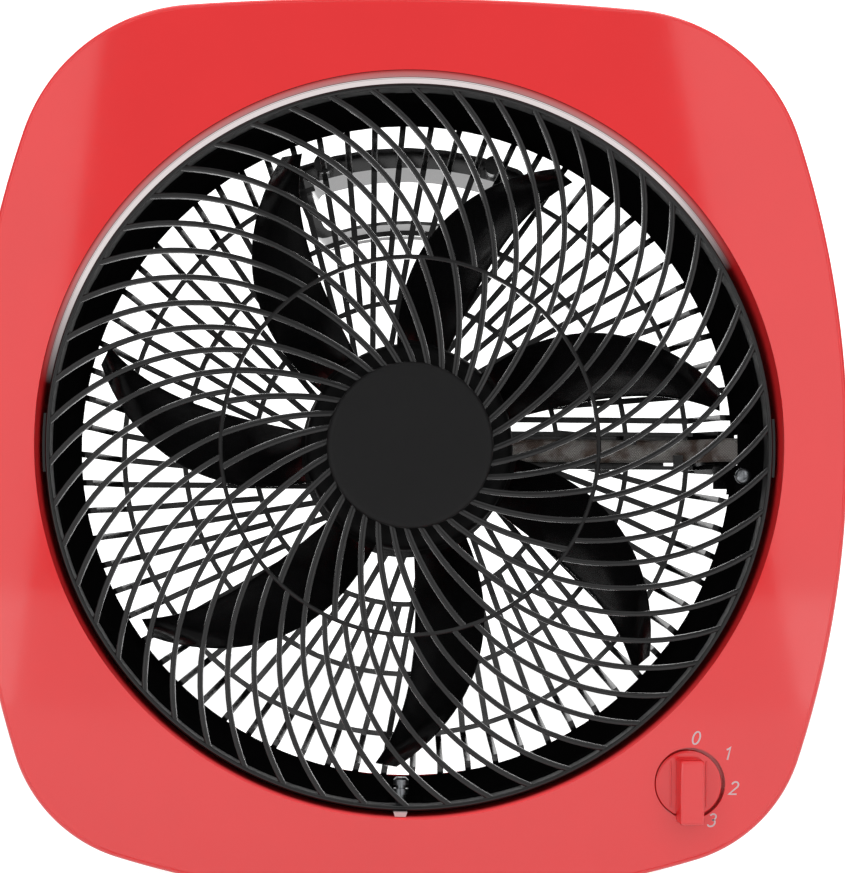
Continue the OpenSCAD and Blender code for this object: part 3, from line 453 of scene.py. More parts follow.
def throat_red_painted_light(name, colour):
    """The casing's red, with painted light glowing on the throat's top and bottom as if lit from behind: a
    pale painted crescent on top over red painted darker, and a pink painted glow at the bottom.
    """
    material = moulded_plastic(name, colour, **CASING_GLOSS)
    tree = material.node_tree
    body = tree.nodes["Principled BSDF"]
    plain = body.inputs["Base Color"].links[0].from_socket
    split = tree.nodes.new("ShaderNodeSeparateXYZ")
    tree.links.new(tree.nodes.new("ShaderNodeTexCoord").outputs["Object"], split.inputs[0])
    x, up = split.outputs["X"], sums(tree, "SUBTRACT", split.outputs["Z"], AXIS_UP)
    depth = sums(tree, "SUBTRACT", split.outputs["Y"], FACE)
    squares = sums(tree, "ADD", sums(tree, "MULTIPLY", x, x), sums(tree, "MULTIPLY", up, up))
    radius = sums(tree, "SQRT", squares)
    mouth = bpy.context.scene.casing_sizes.mouth
    behind = sums(tree, "GREATER_THAN", depth, 0.02 * MM)
    inside = sums(tree, "MULTIPLY", behind, spread(tree, radius, 1, 0, mouth + 0.5 * MM, mouth + 0.8 * MM))

    # Masks of the painted light: a crescent round the throat's top, and a glow at its bottom near the front
    middle = math.radians(100)
    across, above = sums(tree, "MULTIPLY", x, math.cos(middle)), sums(tree, "MULTIPLY", up, math.sin(middle))
    lean = sums(tree, "ADD", across, above)
    painted_crescent_mask = sums(tree, "MULTIPLY", spread(tree, sums(tree, "DIVIDE", lean, radius), 0, 1, 0.33, 0.6), inside)
    painted_glow_mask = sums(tree, "MULTIPLY", inside, spread(tree, sums(tree, "DIVIDE", up, radius), 0, 1, -0.55, -0.95))
    painted_glow_mask = sums(tree, "MULTIPLY", painted_glow_mask, spread(tree, depth, 1, 0, 2 * MM, 8 * MM))

    # Colours of the painted crescent, in bands by depth
    ramp = tree.nodes.new("ShaderNodeValToRGB")
    stops = ramp.color_ramp.elements
    for stop, (place, shade) in zip(stops, (THROAT_PAINTED_LIGHT[0], THROAT_PAINTED_LIGHT[-1])):
        stop.position, stop.color = place, (*shade, 1)
    for place, shade in THROAT_PAINTED_LIGHT[1:-1]:
        stops.new(place).color = (*shade, 1)
    tree.links.new(sums(tree, "DIVIDE", depth, THROAT_END), ramp.inputs["Fac"])
    # Painted light: a pink glow at the throat's bottom, and the red painted darker under the crescent
    glow = mix_colours(tree, painted_glow_mask, (0, 0, 0, 1), (0.55, 0.06, 0.065, 1))
    painted_dark_red = (*(0.3 * c for c in colour), 1)
    tree.links.new(mix_colours(tree, painted_crescent_mask, plain, painted_dark_red), body.inputs["Base Color"])
    tree.links.new(mix_colours(tree, painted_crescent_mask, glow, ramp.outputs["Color"]), body.inputs["Emission Color"])
    body.inputs["Emission Strength"].default_value = 1.0
    return material


def bright_metal(name, colour, rough, scratch=900, relief_depth=0.000006):
    """Plated or ground metal with fine scratches and patchy gloss."""
    material, tree, body, place = shader(name)
    body.inputs["Metallic"].default_value = 1.0
    stretch = tree.nodes.new("ShaderNodeMapping")
    stretch.inputs["Scale"].default_value = (1, 1, 0.12)
    tree.links.new(place, stretch.inputs["Vector"])
    lines = noise(tree, stretch.outputs["Vector"], scratch)
    dark = tuple(c * 0.86 for c in colour)
    tree.links.new(tint(tree, noise(tree, place, 260), dark, colour), body.inputs["Base Color"])
    tree.links.new(spread(tree, lines, rough - 0.07, rough + 0.08), body.inputs["Roughness"])
    tree.links.new(relief(tree, lines, relief_depth), body.inputs["Normal"])
    return material


def woven_sleeve(name, colour):
    """Woven glass sleeve with its crossing threads."""
    material, tree, body, place = shader(name)
    body.inputs["Roughness"].default_value = 0.72
    threads = []
    for turn in (0.7, -0.7):
        spin = tree.nodes.new("ShaderNodeMapping")
        spin.inputs["Rotation"].default_value = (0, turn, 0)
        tree.links.new(place, spin.inputs["Vector"])
        wave = tree.nodes.new("ShaderNodeTexWave")
        wave.inputs["Scale"].default_value = 420
        wave.inputs["Distortion"].default_value = 0.4
        tree.links.new(spin.outputs["Vector"], wave.inputs["Vector"])
        threads.append(wave.outputs["Fac"])
    weave = sums(tree, "MULTIPLY", *threads)
    dark = tuple(c * 0.62 for c in colour)
    woven = tint(tree, weave, dark, colour, 0.1, 0.6)
    stains = tint(tree, noise(tree, place, 90), (0.35, 0.26, 0.22), (1, 1, 1), 0.42, 0.56)
    tree.links.new(mix_colours(tree, 1.0, woven, stains, "MULTIPLY"), body.inputs["Base Color"])
    tree.links.new(relief(tree, weave, 0.0002), body.inputs["Normal"])
    return material


def wound_wire(name, colour):
    """Enamelled wire laid in turns."""
    material, tree, body, place = shader(name)
    body.inputs["Metallic"].default_value = 0.85
    body.inputs["Roughness"].default_value = 0.32
    wave = tree.nodes.new("ShaderNodeTexWave")
    wave.bands_direction = "Y"
    wave.inputs["Scale"].default_value = 300
    wave.inputs["Distortion"].default_value = 1.2
    tree.links.new(place, wave.inputs["Vector"])
    dark = tuple(c * 0.45 for c in colour)
    tree.links.new(tint(tree, wave.outputs["Fac"], dark, colour, 0.1, 0.7), body.inputs["Base Color"])
    tree.links.new(relief(tree, wave.outputs["Fac"], 0.0003), body.inputs["Normal"])
    return material


def finishes():
    """All the fan's materials, made once."""
    if "casing red" in bpy.data.materials:
        return {m.name: m for m in bpy.data.materials}
    look = bpy.context.scene.fan_finishes
    red, grille, cap, black = (tuple(colour) for colour in (look.red, look.grille, look.cap, look.black))
    made = [
        moulded_plastic("casing red", red, **CASING_GLOSS),
        # Red with painted light glowing in the throat
        throat_red_painted_light("throat red", red),
        moulded_plastic("grille grey", grille, 0.2, 0.24, grain=2600, vary=0.12),
        moulded_plastic("cap grey", cap, 0.5, 0.12, grain=4200, relief_depth=0.00002),
        moulded_plastic("gloss black", black, 0.14, grain=900, vary=0.12),
        moulded_plastic(
            "handle black", black, 0.08, grain=900, relief_depth=0.000002, vary=0.12, rough_vary=0.02, ior=2.1
        ),
        moulded_plastic("matt black", black, 0.6, 0.1, grain=1500, vary=0.12),
        moulded_plastic("duct black", black, 0.7, 0.0, grain=1500, vary=0.12),
        moulded_plastic("blade black", black, 0.13, grain=1200, relief_depth=0.000004, vary=0.12),
        moulded_plastic("pale plastic", (0.5, 0.4, 0.4), 0.35),
        moulded_plastic("ivory plastic", (0.68, 0.64, 0.54), 0.45),
        moulded_plastic("lead red", (0.45, 0.03, 0.03), 0.5, grain=3000),
        moulded_plastic("soft rubber", (0.02, 0.02, 0.021), 0.75, grain=2600, relief_depth=0.00006, vary=0.2),
        moulded_plastic("dial print", (0.6, 0.5, 0.52), 0.5, grain=5000),
        bright_metal("zinc plate", (0.66, 0.67, 0.7), 0.3),
        bright_metal("dark zinc", (0.2, 0.21, 0.22), 0.36),
        bright_metal("ground steel", (0.58, 0.58, 0.6), 0.24),
        bright_metal("core plates", (0.28, 0.29, 0.31), 0.5, scratch=1600, relief_depth=0.0001),
        bright_metal("oiled bronze", (0.6, 0.38, 0.17), 0.4, scratch=400),
        wound_wire("copper turns", (0.7, 0.27, 0.09)),
        woven_sleeve("woven sleeve", (0.56, 0.53, 0.5)),
    ]
    return {m.name: m for m in made}


def soft_shading():
    """Nodes of a modifier that shades a mesh smooth, apart from edges that turn by more than 30 degrees."""
    group = bpy.data.node_groups.get("soft shading")
    if group:
        return group
    group = bpy.data.node_groups.new("soft shading", "GeometryNodeTree")
    for way in ("INPUT", "OUTPUT"):
        group.interface.new_socket("Geometry", in_out=way, socket_type="NodeSocketGeometry")
    start, end = group.nodes.new("NodeGroupInput"), group.nodes.new("NodeGroupOutput")
    bare = group.nodes.new("GeometryNodeRemoveAttribute")
    bare.inputs["Name"].default_value = "custom_normal"
    weld = group.nodes.new("GeometryNodeMergeByDistance")
    weld.inputs["Distance"].default_value = 0.002 * MM
    faces = group.nodes.new("GeometryNodeSetShadeSmooth")
    faces.domain = "FACE"
    edges = group.nodes.new("GeometryNodeSetShadeSmooth")
    edges.domain = "EDGE"
    turn = group.nodes.new("GeometryNodeInputMeshEdgeAngle")
    flat = group.nodes.new("FunctionNodeCompare")
    flat.operation = "LESS_THAN"
    flat.inputs["B"].default_value = math.radians(30)
    group.links.new(turn.outputs["Unsigned Angle"], flat.inputs["A"])
    group.links.new(flat.outputs["Result"], edges.inputs["Shade Smooth"])
    line = (start, bare, weld, faces, edges, end)
    for here, after in zip(line, line[1:]):
        group.links.new(here.outputs[0], after.inputs[0])
    return group


def dress(node, material, soft=False):
    """Gives a CAD node that stays in sight a material, and shades its curved sides smooth if it is soft."""
    piece = frame["nodes"][node]
    piece.data.materials.clear()
    piece.data.materials.append(material)
    if soft:
        piece.modifiers.new("Soft shading", "NODES").node_group = soft_shading()


# ---------- casing ----------

def corner_centre(bow, height, radius, side_bow, half):
    """Centre of a corner arc that touches the side bow and the top or bottom bow from inside."""
    a, b = Vector((half - side_bow, 0)), Vector((0, height - bow))
    ra, rb = side_bow - radius, bow - radius
    gap = (b - a).length
    along = (b - a) / gap
    k = (ra * ra - rb * rb + gap * gap) / (2 * gap)
    s = math.sqrt(ra * ra - k * k)
    across = Vector((-along.y, along.x))
    return max((a + along * k + across * s, a + along * k - across * s), key=lambda p: p.x + p.y)


def quarter_outline(bow, height, radius, inset, fine):
    """A quarter of the casing's outline from the side to the middle of the top, as (x, up)."""
    size = bpy.context.scene.casing_sizes
    half = half_width("front_housing")
    c = corner_centre(bow, height, radius, size.side_bow, half)
    a1 = math.atan2(c.y, c.x - half + size.side_bow)
    a2 = math.atan2(c.y - height + bow, c.x)
    points = []
    for (cx, cy), r, start, end, steps in (
        ((half - size.side_bow, 0), size.side_bow, 0, a1, fine),
        (c, radius, a1, a2, 2 * fine),
        ((0, height - bow), bow, a2, math.pi / 2, fine),
    ):
        for i in range(steps):
            angle = start + (end - start) * i / steps
            points.append((cx + (r - inset) * math.cos(angle), cy + (r - inset) * math.sin(angle)))
    points.append((0, height - inset))
    return points


def casing_outline(inset=0.0, fine=32):
    """The casing's outline as (x, up), anticlockwise from the right, moved in by inset."""
    size = bpy.context.scene.casing_sizes
    up = quarter_outline(size.top_bow, SHELL_HIGH[2] - AXIS_UP, size.top_corner, inset, fine)
    down = quarter_outline(size.bottom_bow, AXIS_UP - SHELL_LOW[2], size.bottom_corner, inset, fine)
    right = [(x, -y) for x, y in reversed(down[1:])] + up
    return right + [(-x, y) for x, y in reversed(right[1:-1])]


def outline_row(inset, depth):
    """The casing's outline, moved in by inset, at that depth."""
    return [at(x, y, depth) for x, y in casing_outline(inset)]


def circle_row(radius, depth, lift=0.0):
    """A circle with one point for each point of the casing's outline, at the same angle."""
    up = Vector((0, 0, lift))
    return [polar(radius, math.atan2(y, x), depth) + up for x, y in casing_outline()]


# Fine groove inside the front edge: how far in from the edge and how deep, in millimetres
EDGE_GROOVE = ((0.6, 0), (0.5, 0), (0.4, 0.05), (0.25, 0.1), (0.1, 0.04))


class FAN_OT_front_shell(Operator):
    """Builds the front shell with its rounded edge, round mouth and throat, and the knob's recess"""
    bl_idname = "fan.front_shell"
    bl_label = "Front shell"

    def execute(self, context):
        size = context.scene.casing_sizes
        wall, seam = size.wall, SHELL_HIGH[1] - FACE
        throat_r = size.mouth - size.mouth_taper
        outer_r = throat_r + 2 * MM
        mouth_lift = 0.8 * MM
        turns = [math.pi / 2 * t for t in (0, 0.15, 0.3, 0.45, 0.6, 0.8, 1)]
        edge = [(size.edge_in * (1 - math.sin(a)), size.edge_depth * (1 - math.cos(a))) for a in turns]
        side = [
            (0, size.edge_depth + 2 * MM), (0, seam - 0.6 * MM), (0.35 * MM, seam - 0.1 * MM),
            (0.7 * MM, seam), (wall, seam), (wall, 2 * wall), (2 * wall, wall)
        ]
        rows = [circle_row(size.mouth + r * MM, 0, mouth_lift) for r in (-0.4, -0.3, 0.8)]
        rows += [outline_row(size.edge_in + 8 * MM, 0)]
        rows += [outline_row(size.edge_in + inset * MM, depth * MM) for inset, depth in EDGE_GROOVE]
        rows += [outline_row(inset, depth) for inset, depth in edge + side]
        rows += [circle_row(r, d) for r, d in (
            (size.mouth + 3 * MM, wall), (outer_r, 2 * wall), (outer_r, size.throat), (throat_r, size.throat)
        )]
        # The shell's material paints a glowing crescent and a pink glow into the throat
        shell = finish_piece(skin(rows, close_ends=True), "front_shell", finishes()["throat red"], 40)
        cut_recess(shell, wall)
        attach(shell, "casing")
        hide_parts("front_housing")
        return {"FINISHED"}


def cut_recess(shell, wall):
    """Sinks the round recess of the knob into the front shell and joins its cup behind the face."""
    size = bpy.context.scene.knob_sizes
    inner_r = half_width("speed_knob") + size.gap
    cup_wall = 1.8 * MM
    centre = (KNOB_X + size.recess_shift, KNOB_UP + size.recess_shift)
    for name, operation, radius, front, back in (
        ("recess_cup", "UNION", inner_r + cup_wall, wall * 0.4, size.recess_depth + cup_wall),
        ("recess_cutter", "DIFFERENCE", inner_r, -2 * MM, size.recess_depth)
    ):
        drum = turned_solid([(0, front), (radius, front), (radius, back), (0, back)], 96, centre)
        cut_with(shell, finish_piece(drum, name, finishes()["casing red"]), operation)


class FAN_OT_rear_shell(Operator):
    """Finishes the rear shell, the feet with their pads, and the cord bushing"""
    bl_idname = "fan.rear_shell"
    bl_label = "Rear shell and feet"

    def execute(self, context):
        look = finishes()
        for node in ("rear_housing", "left_foot", "right_foot"):
            dress(node, look["casing red"], soft=True)
        dress("foot_pads", look["soft rubber"])
        dress("cord_bushing", look["soft rubber"])
        return {"FINISHED"}


# ---------- front grille ----------

def bend_angle(throw, curve, radius):
    """Angle at a bar's centre of curvature between the fan's axis and the bar's point at that radius."""
    return math.acos((throw ** 2 + curve ** 2 - radius ** 2) / (2 * throw * curve))


def lead_angle(throw, curve, radius):
    """Polar angle of the centre of curvature that puts the bar's point at that radius on angle 0."""
    return math.acos((throw ** 2 + radius ** 2 - curve ** 2) / (2 * throw * radius))


def bar_section(width, height):
    """Cross-section of a bar as (across, depth), with a crowned front and slightly drafted sides."""
    half = width / 2
    back = half * 0.9
    return [
        (-half * 0.45, 0.0), (half * 0.45, 0.0), (half * 0.86, height * 0.06), (half, height * 0.2),
        (back, height * 0.97), (back * 0.8, height), (-back * 0.8, height), (-back, height * 0.97),
        (-half, height * 0.2), (-half * 0.86, height * 0.06),
    ]


def spiral_bars(count, throw, curve, radii, width, size, steps=18):
    """A round of curved bars between two radii."""
    start, end = (bend_angle(throw, curve, r) for r in radii)
    turn = size.first_bar + lead_angle(throw, curve, size.middle_ring)
    section = bar_section(width, size.bar_height)
    bars = []
    for i in range(count):
        centre_angle = turn + 2 * math.pi * i / count
        centre = (throw * math.cos(centre_angle), throw * math.sin(centre_angle))
        angles = [centre_angle + math.pi + start + (end - start) * k / steps for k in range(steps + 1)]
        rows = [
            [around(centre, curve + a, angle, size.bar_front + d) for a, d in section] for angle in angles
        ]
        bars.append(skin(rows, cap_ends=True))
    return bars


class FAN_OT_front_grille(Operator):
    """Builds the spiral front grille with its rim, middle ring, hub plate and cap"""
    bl_idname = "fan.front_grille"
    bl_label = "Spiral front grille"

    def execute(self, context):
        size = context.scene.grille_sizes
        look = finishes()
        rim_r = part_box("front_grille")[1][2] - AXIS_UP
        inner = rim_r - size.rim
        cap_r = half_width("grille_cap")
        front, back = size.bar_front, size.bar_front + size.bar_height
        rim_back = context.scene.casing_sizes.throat - 0.3 * MM
        mid, overlap = size.middle_ring, 0.2 * MM
        outer_reach, inner_reach = (mid - overlap, inner + 0.5 * MM), (cap_r - 1.3 * MM, mid + overlap)
        parts = spiral_bars(
            size.outer_bars, size.outer_throw, size.outer_curve, outer_reach, size.outer_width, size
        ) + spiral_bars(
            size.inner_bars, size.inner_throw, size.inner_curve, inner_reach, size.inner_width, size
        )
        lip = front - 0.35 * MM
        parts.append(turned([
            (inner, lip + 0.5 * MM), (inner + 0.35 * MM, lip + 0.1 * MM), (inner + 0.8 * MM, lip),
            (rim_r - 0.5 * MM, lip + 0.1 * MM), (rim_r, lip + 0.7 * MM), (rim_r, rim_back), (inner, rim_back)
        ], 288))
        ring_front, ring_edge = front - 0.1 * MM, front + 0.3 * MM
        parts.append(turned([
            (mid - 0.8 * MM, ring_edge), (mid - 0.4 * MM, ring_front), (mid + 0.4 * MM, ring_front),
            (mid + 0.8 * MM, ring_edge), (mid + 0.7 * MM, back), (mid - 0.7 * MM, back)
        ], 240))
        plate_r, plate_back = cap_r - 0.4 * MM, back - 0.2 * MM
        parts.append(turned_solid([
            (0, ring_front), (plate_r - 0.4 * MM, ring_front), (plate_r, ring_edge), (plate_r, plate_back),
            (0, plate_back)
        ], 144))
        for first in (0, math.pi):
            parts.append(self.lug(rim_r, first, rim_back))
        grille = finish_piece(join(parts), "spiral_grille", look["grille grey"], 38)
        near = 0.02 * MM
        dull_inside(grille, look["matt black"], inner - near, inner + 2 * near)
        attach(grille, "casing")
        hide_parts("front_grille")

        cap_front = depth_of("grille_cap")[0]
        cap = finish_piece(turned_solid([
            (0, cap_front + 0.12 * MM), (cap_r * 0.55, cap_front + 0.06 * MM), (cap_r - 2.4 * MM, cap_front),
            (cap_r - 1.2 * MM, cap_front + 0.15 * MM), (cap_r - 0.4 * MM, cap_front + 0.6 * MM),
            (cap_r, cap_front + 1.3 * MM), (cap_r, ring_front), (0, ring_front)
        ], 192), "centre_cap", look["cap grey"], 50)
        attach(cap, "casing")
        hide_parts("grille_cap")
        dress("grille_lock_screw", look["dark zinc"])
        dress("grille_latch", look["pale plastic"])
        return {"FINISHED"}

    @staticmethod
    def lug(rim_r, middle, rim_back):
        """Lug beside the rim that rests in the throat."""
        front, back, half_turn = rim_back - 10 * MM, rim_back - 1 * MM, math.radians(4.6)
        inner, outer = rim_r - 0.5 * MM, rim_r + 1.3 * MM
        section = (
            (inner, front), (outer - 0.2 * MM, front), (outer, front + 0.4 * MM), (outer, back), (inner, back)
        )
        angles = [middle + half_turn * k / 4 for k in range(-4, 5)]
        return skin([[polar(r, angle, d) for r, d in section] for angle in angles], cap_ends=True)


# ---------- impeller ----------

# Angles in degrees and depths in millimetres of a blade's leading edge, at the back, and trailing edge, in
# front: the value at the root, then the factors of span, span squared and span cubed. Span is 0 at the root
# and 1 at the tip
LEADING_ANGLE, LEADING_DEPTH = (18.5, -2.2, 0, -7.1), (50.5, -5.5, 0, 0)
TRAILING_ANGLE, TRAILING_DEPTH = (48, -16, -16, -3), (25, 9.5, 0, 0)
BLADE_CAMBER = 2.2 * MM


def along_span(factors, k):
    """Value of one of the curves above at span k."""
    return sum(factor * k ** power for power, factor in enumerate(factors))


def blade_mesh(turn, root_r, tip_r, thick, span=26, chord=14):
    """One twisted blade, thin at its edges, with a rounded tip."""
    rows = []
    edge_share, tip_start, tip_thin = 0.22, 0.97, 0.06
    for j in range(span + 1):
        k = j / span
        lead, trail = math.radians(along_span(LEADING_ANGLE, k)), math.radians(along_span(TRAILING_ANGLE, k))
        lead_d, trail_d = along_span(LEADING_DEPTH, k) * MM, along_span(TRAILING_DEPTH, k) * MM
        radius = root_r + (tip_r - root_r) * k
        rounding = math.sqrt(max(tip_thin, 1 - max(0, (k - tip_start) / (1 - tip_start)) ** 2))
        top, bottom = [], []
        for i in range(chord + 1):
            c = (1 - math.cos(math.pi * i / chord)) / 2
            crown = math.sin(math.pi * c)
            angle = turn + lead + (trail - lead) * c
            depth = lead_d + (trail_d - lead_d) * c + BLADE_CAMBER * (1 - 0.5 * k) * crown
            half = thick / 2 * (edge_share + (1 - edge_share) * crown ** 0.6) * rounding
            top.append(polar(radius, angle, depth - half))
            bottom.append(polar(radius, angle, depth + half))
        rows.append(top + bottom[::-1])
    return skin(rows, cap_ends=True)


class FAN_OT_impeller(Operator):
    """Builds the twisted blades and their hub"""
    bl_idname = "fan.impeller"
    bl_label = "Impeller"

    def execute(self, context):
        size = context.scene.impeller_sizes
        look = finishes()
        hub_r, wall, root_r = size.hub, size.hub_wall, size.hub - 1.6 * MM
        parts = [
            blade_mesh(size.first_blade + 2 * math.pi * i / size.blades, root_r, size.tip, size.thick)
            for i in range(size.blades)
        ]
        front, back = depth_of("impeller")[0], size.hub_back
        bore_r, boss_r, boss_back = 4.05 * MM, 9 * MM, back - 4 * MM
        parts.append(turned([
            (bore_r, front), (hub_r - 6 * MM, front), (hub_r - 2.4 * MM, front + 0.5 * MM),
            (hub_r - 0.7 * MM, front + 2 * MM), (hub_r, front + 4.5 * MM), (hub_r, back),
            (hub_r - wall, back), (hub_r - wall, front + 5 * MM), (hub_r - 6 * MM, front + wall),
            (boss_r, front + wall), (boss_r, boss_back), (bore_r, boss_back)
        ], 160))
        impeller = finish_piece(join(parts), "blade_wheel", look["blade black"], 42)
        dull_inside(impeller, look["matt black"], 0, hub_r + 0.2 * MM)
        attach(impeller, "rotor")
        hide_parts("impeller")
        dress("spinner_nut", look["blade black"])
        return {"FINISHED"}


# ---------- speed knob ----------

# The dial's numbers, and how far right of the knob's middle and above it they stand, in millimetres
DIAL = (("0", 2.75, 17.3), ("1", 14.7, 11.5), ("2", 17.0, -1.3), ("3", 8.7, -13.3))


class FAN_OT_speed_knob(Operator):
    """Builds the speed knob and prints the dial's numbers beside it"""
    bl_idname = "fan.speed_knob"
    bl_label = "Speed knob and dial"

    def execute(self, context):
        size = context.scene.knob_sizes
        look = finishes()
        knob_r = half_width("speed_knob")
        front, disc_front, disc_back = depth_of("speed_knob")[0], size.disc_front, 2.6 * MM
        half_w = size.grip_width / 2
        parts = [turned_solid([
            (0, disc_front), (knob_r - 0.9 * MM, disc_front), (knob_r - 0.6 * MM, disc_front),
            (knob_r - 0.15 * MM, disc_front + 0.15 * MM), (knob_r, disc_front + 0.6 * MM),
            (knob_r, disc_back), (0, disc_back)
        ], 128, (KNOB_X, KNOB_UP))]
        grip_back = disc_front + 0.6 * MM
        parts.append(self.block(half_w, -size.grip_down, size.grip_up, front, grip_back, 1.1 * MM))
        ridge_half, ridge_reach, ridge_gap = 0.3 * MM, 8.6 * MM, 2.2 * MM
        for side in (-1, 1):
            parts.append(self.block(
                ridge_half, -ridge_reach, ridge_reach, disc_front - 0.35 * MM, disc_front + 0.4 * MM,
                0.2 * MM, side * (half_w + ridge_gap)
            ))
        knob = finish_piece(join(parts), "speed_knob_dressed", look["casing red"], 50)
        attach(knob, "knob")
        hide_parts("speed_knob")
        for text, x, up in DIAL:
            self.number(text, KNOB_X + x * MM, KNOB_UP + up * MM, look["dial print"])
        return {"FINISHED"}

    @staticmethod
    def block(half_w, low, high, front, back, soft, shift=0.0):
        """Upright bar with softened edges, from depth back out to depth front; a big one has a wider foot."""
        foot = 0.35 * MM if soft > 0.5 * MM else 0
        rows = []
        for depth, grow in (
            (back, foot), (front + soft, 0), (front + soft * 0.45, -soft * 0.12),
            (front + soft * 0.14, -soft * 0.42), (front, -soft), (front, -soft - 0.1 * MM)
        ):
            corner = min(half_w + grow, max(0.15 * MM, soft + grow))
            x = half_w + grow - corner
            top, bottom = high + grow - corner, low - grow + corner
            rows.append([
                around((KNOB_X + shift + cx, KNOB_UP + cy), corner, math.radians(start + 18 * k), depth)
                for cx, cy, start in ((x, top, 0), (-x, top, 90), (-x, bottom, 180), (x, bottom, 270))
                for k in range(6)
            ])
        return skin(rows, cap_ends=True)

    @staticmethod
    def arc(cx, cy, rx, ry, start, end, steps=14):
        """Points on part of an ellipse, in millimetres, between two angles in degrees."""
        angles = [math.radians(start + (end - start) * i / steps) for i in range(steps + 1)]
        return [(cx + rx * math.cos(a), cy + ry * math.sin(a)) for a in angles]

    def strokes(self, text):
        """Centre lines of a number's strokes, in millimetres from its middle."""
        return {
            "0": [self.arc(0, 0, 1.3, 2.3, 90, 450, 28)],
            "1": [[(-0.95, 1.45), (-0.3, 1.75), (0.25, 2.3), (0.25, -2.3)]],
            "2": [self.arc(0, 1.05, 1.25, 1.25, 165, -25) + [(-1.45, -2.25), (1.4, -2.25)]],
            "3": [self.arc(-0.05, 1.15, 1.2, 1.15, 150, -90), self.arc(-0.05, -1.05, 1.35, 1.25, 90, -155)],
        }[text]

    def number(self, text, x, up, material):
        """A slanting printed number on the front face."""
        slant, half_stroke, front, back = 0.25, 0.3 * MM, -0.03 * MM, 0.02 * MM
        parts = []
        for line in self.strokes(text):
            points = [Vector((px + slant * py, py)) * MM for px, py in line]
            rows = []
            for i, point in enumerate(points):
                before, after = points[max(0, i - 1)], points[min(len(points) - 1, i + 1)]
                ways = [w.normalized() for w in (point - before, after - point) if w.length > 0]
                along = (ways[0] + ways[-1]).normalized()
                side = Vector((-along.y, along.x)) * half_stroke / max(0.5, along.dot(ways[0]))
                left, right = point - side, point + side
                section = ((left, front), (right, front), (right, back), (left, back))
                rows.append([at(x + p.x, up + p.y, depth) for p, depth in section])
            parts.append(skin(rows, cap_ends=True))
        piece = finish_piece(join(parts), "dial_" + text, material)
        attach(piece, "casing")


# ---------- duct, rear grille, motor ----------

def cross_screw(name, x, up, front, material):
    """A pan-headed screw with a crossed recess, its head's front at that depth."""
    radius, back = 3.1 * MM, front + 1.9 * MM
    head = finish_piece(turned_solid([
        (0, front), (1.4 * MM, front + 0.05 * MM), (2.3 * MM, front + 0.3 * MM), (2.9 * MM, front + 0.8 * MM),
        (radius, front + 1.3 * MM), (radius, back), (0, back)
    ], 48, (x, up)), name, material, 40)
    arm, half = 1.7 * MM, 0.38 * MM
    corners = (
        (arm, -half), (arm, half), (half, half), (half, arm), (-half, arm), (-half, half),
        (-arm, half), (-arm, -half), (-half, -half), (-half, -arm), (half, -arm), (half, -half)
    )
    rows = [[at(x + a, up + b, front + d) for a, b in corners] for d in (-0.5 * MM, 1.1 * MM)]
    cut_with(head, finish_piece(skin(rows, cap_ends=True), "cross_cutter", material), "DIFFERENCE")
    return head


class FAN_OT_duct_and_back(Operator):
    """Finishes the duct, rear grille, handle and screws, and adds the screw head beside the duct's notch"""
    bl_idname = "fan.duct_and_back"
    bl_label = "Duct, rear grille and handle"

    def execute(self, context):
        look = finishes()
        dress("air_duct", look["duct black"])
        dress("rear_grille", look["gloss black"])
        dress("carry_handle", look["handle black"], soft=True)
        # Head of the screw beside the duct's notch. It hangs free, 14 mm in front of the wall behind it
        x, up, front = 127.6 * MM, -10.4 * MM, depth_of("air_duct")[0] - 1.8 * MM
        screw = cross_screw("notch_screw", x, up, front, look["dark zinc"])
        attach(screw, "casing")
        for node in (
            "duct_screws", "handle_screws", "channel_screw", "housing_screws", "rear_grille_screws",
            "foot_screws", "motor_mount_screws"
        ):
            dress(node, look["zinc plate"])
        return {"FINISHED"}


class FAN_OT_motor(Operator):
    """Finishes the motor, the leads and the switch"""
    bl_idname = "fan.motor"
    bl_label = "Motor, leads and switch"

    def execute(self, context):
        look = finishes()
        for finish, nodes in (
            ("zinc plate", ("motor_front_shell", "motor_rear_shell", "motor_bolts", "switch_nut")),
            ("ground steel", ("motor_shaft", "switch_shaft")),
            ("core plates", ("rotor_core", "stator_core")),
            ("copper turns", ("windings",)),
            ("oiled bronze", ("front_bearing", "rear_bearing")),
            ("woven sleeve", ("lead_sleeve",)),
            ("lead red", ("lead_wires",)),
            ("ivory plastic", ("rotary_switch",))
        ):
            for node in nodes:
                dress(node, look[finish])
        return {"FINISHED"}


# ---------- studio ----------

def lit_white(name, level, mirrored, diffuse):
    """White that shines at one level to the camera and at another in reflections, and still takes shadows."""
    material = bpy.data.materials.new(name)
    material.use_nodes = True
    tree = material.node_tree
    tree.nodes.clear()
    out = tree.nodes.new("ShaderNodeOutputMaterial")
    path = tree.nodes.new("ShaderNodeLightPath")
    to_camera = sums(tree, "MULTIPLY", path.outputs["Is Camera Ray"], level)
    to_gloss = sums(tree, "MULTIPLY", path.outputs["Is Glossy Ray"], mirrored)
    glow = tree.nodes.new("ShaderNodeEmission")
    tree.links.new(sums(tree, "ADD", to_camera, to_gloss), glow.inputs["Strength"])
    matt = tree.nodes.new("ShaderNodeBsdfDiffuse")
    matt.inputs["Color"].default_value = (diffuse, diffuse, diffuse, 1)
    mixed = tree.nodes.new("ShaderNodeAddShader")
    tree.links.new(glow.outputs[0], mixed.inputs[0])
    tree.links.new(matt.outputs[0], mixed.inputs[1])
    tree.links.new(mixed.outputs[0], out.inputs["Surface"])
    return material


# The way the camera looks and its upward side, and the point that the top softbox faces
CAMERA_AHEAD, CAMERA_UP = Vector((0.02288, 0.99899, 0.03859)), Vector((-0.00838, -0.03841, 0.99923))
FAN_MIDDLE = Vector((0, 0, 0.17))


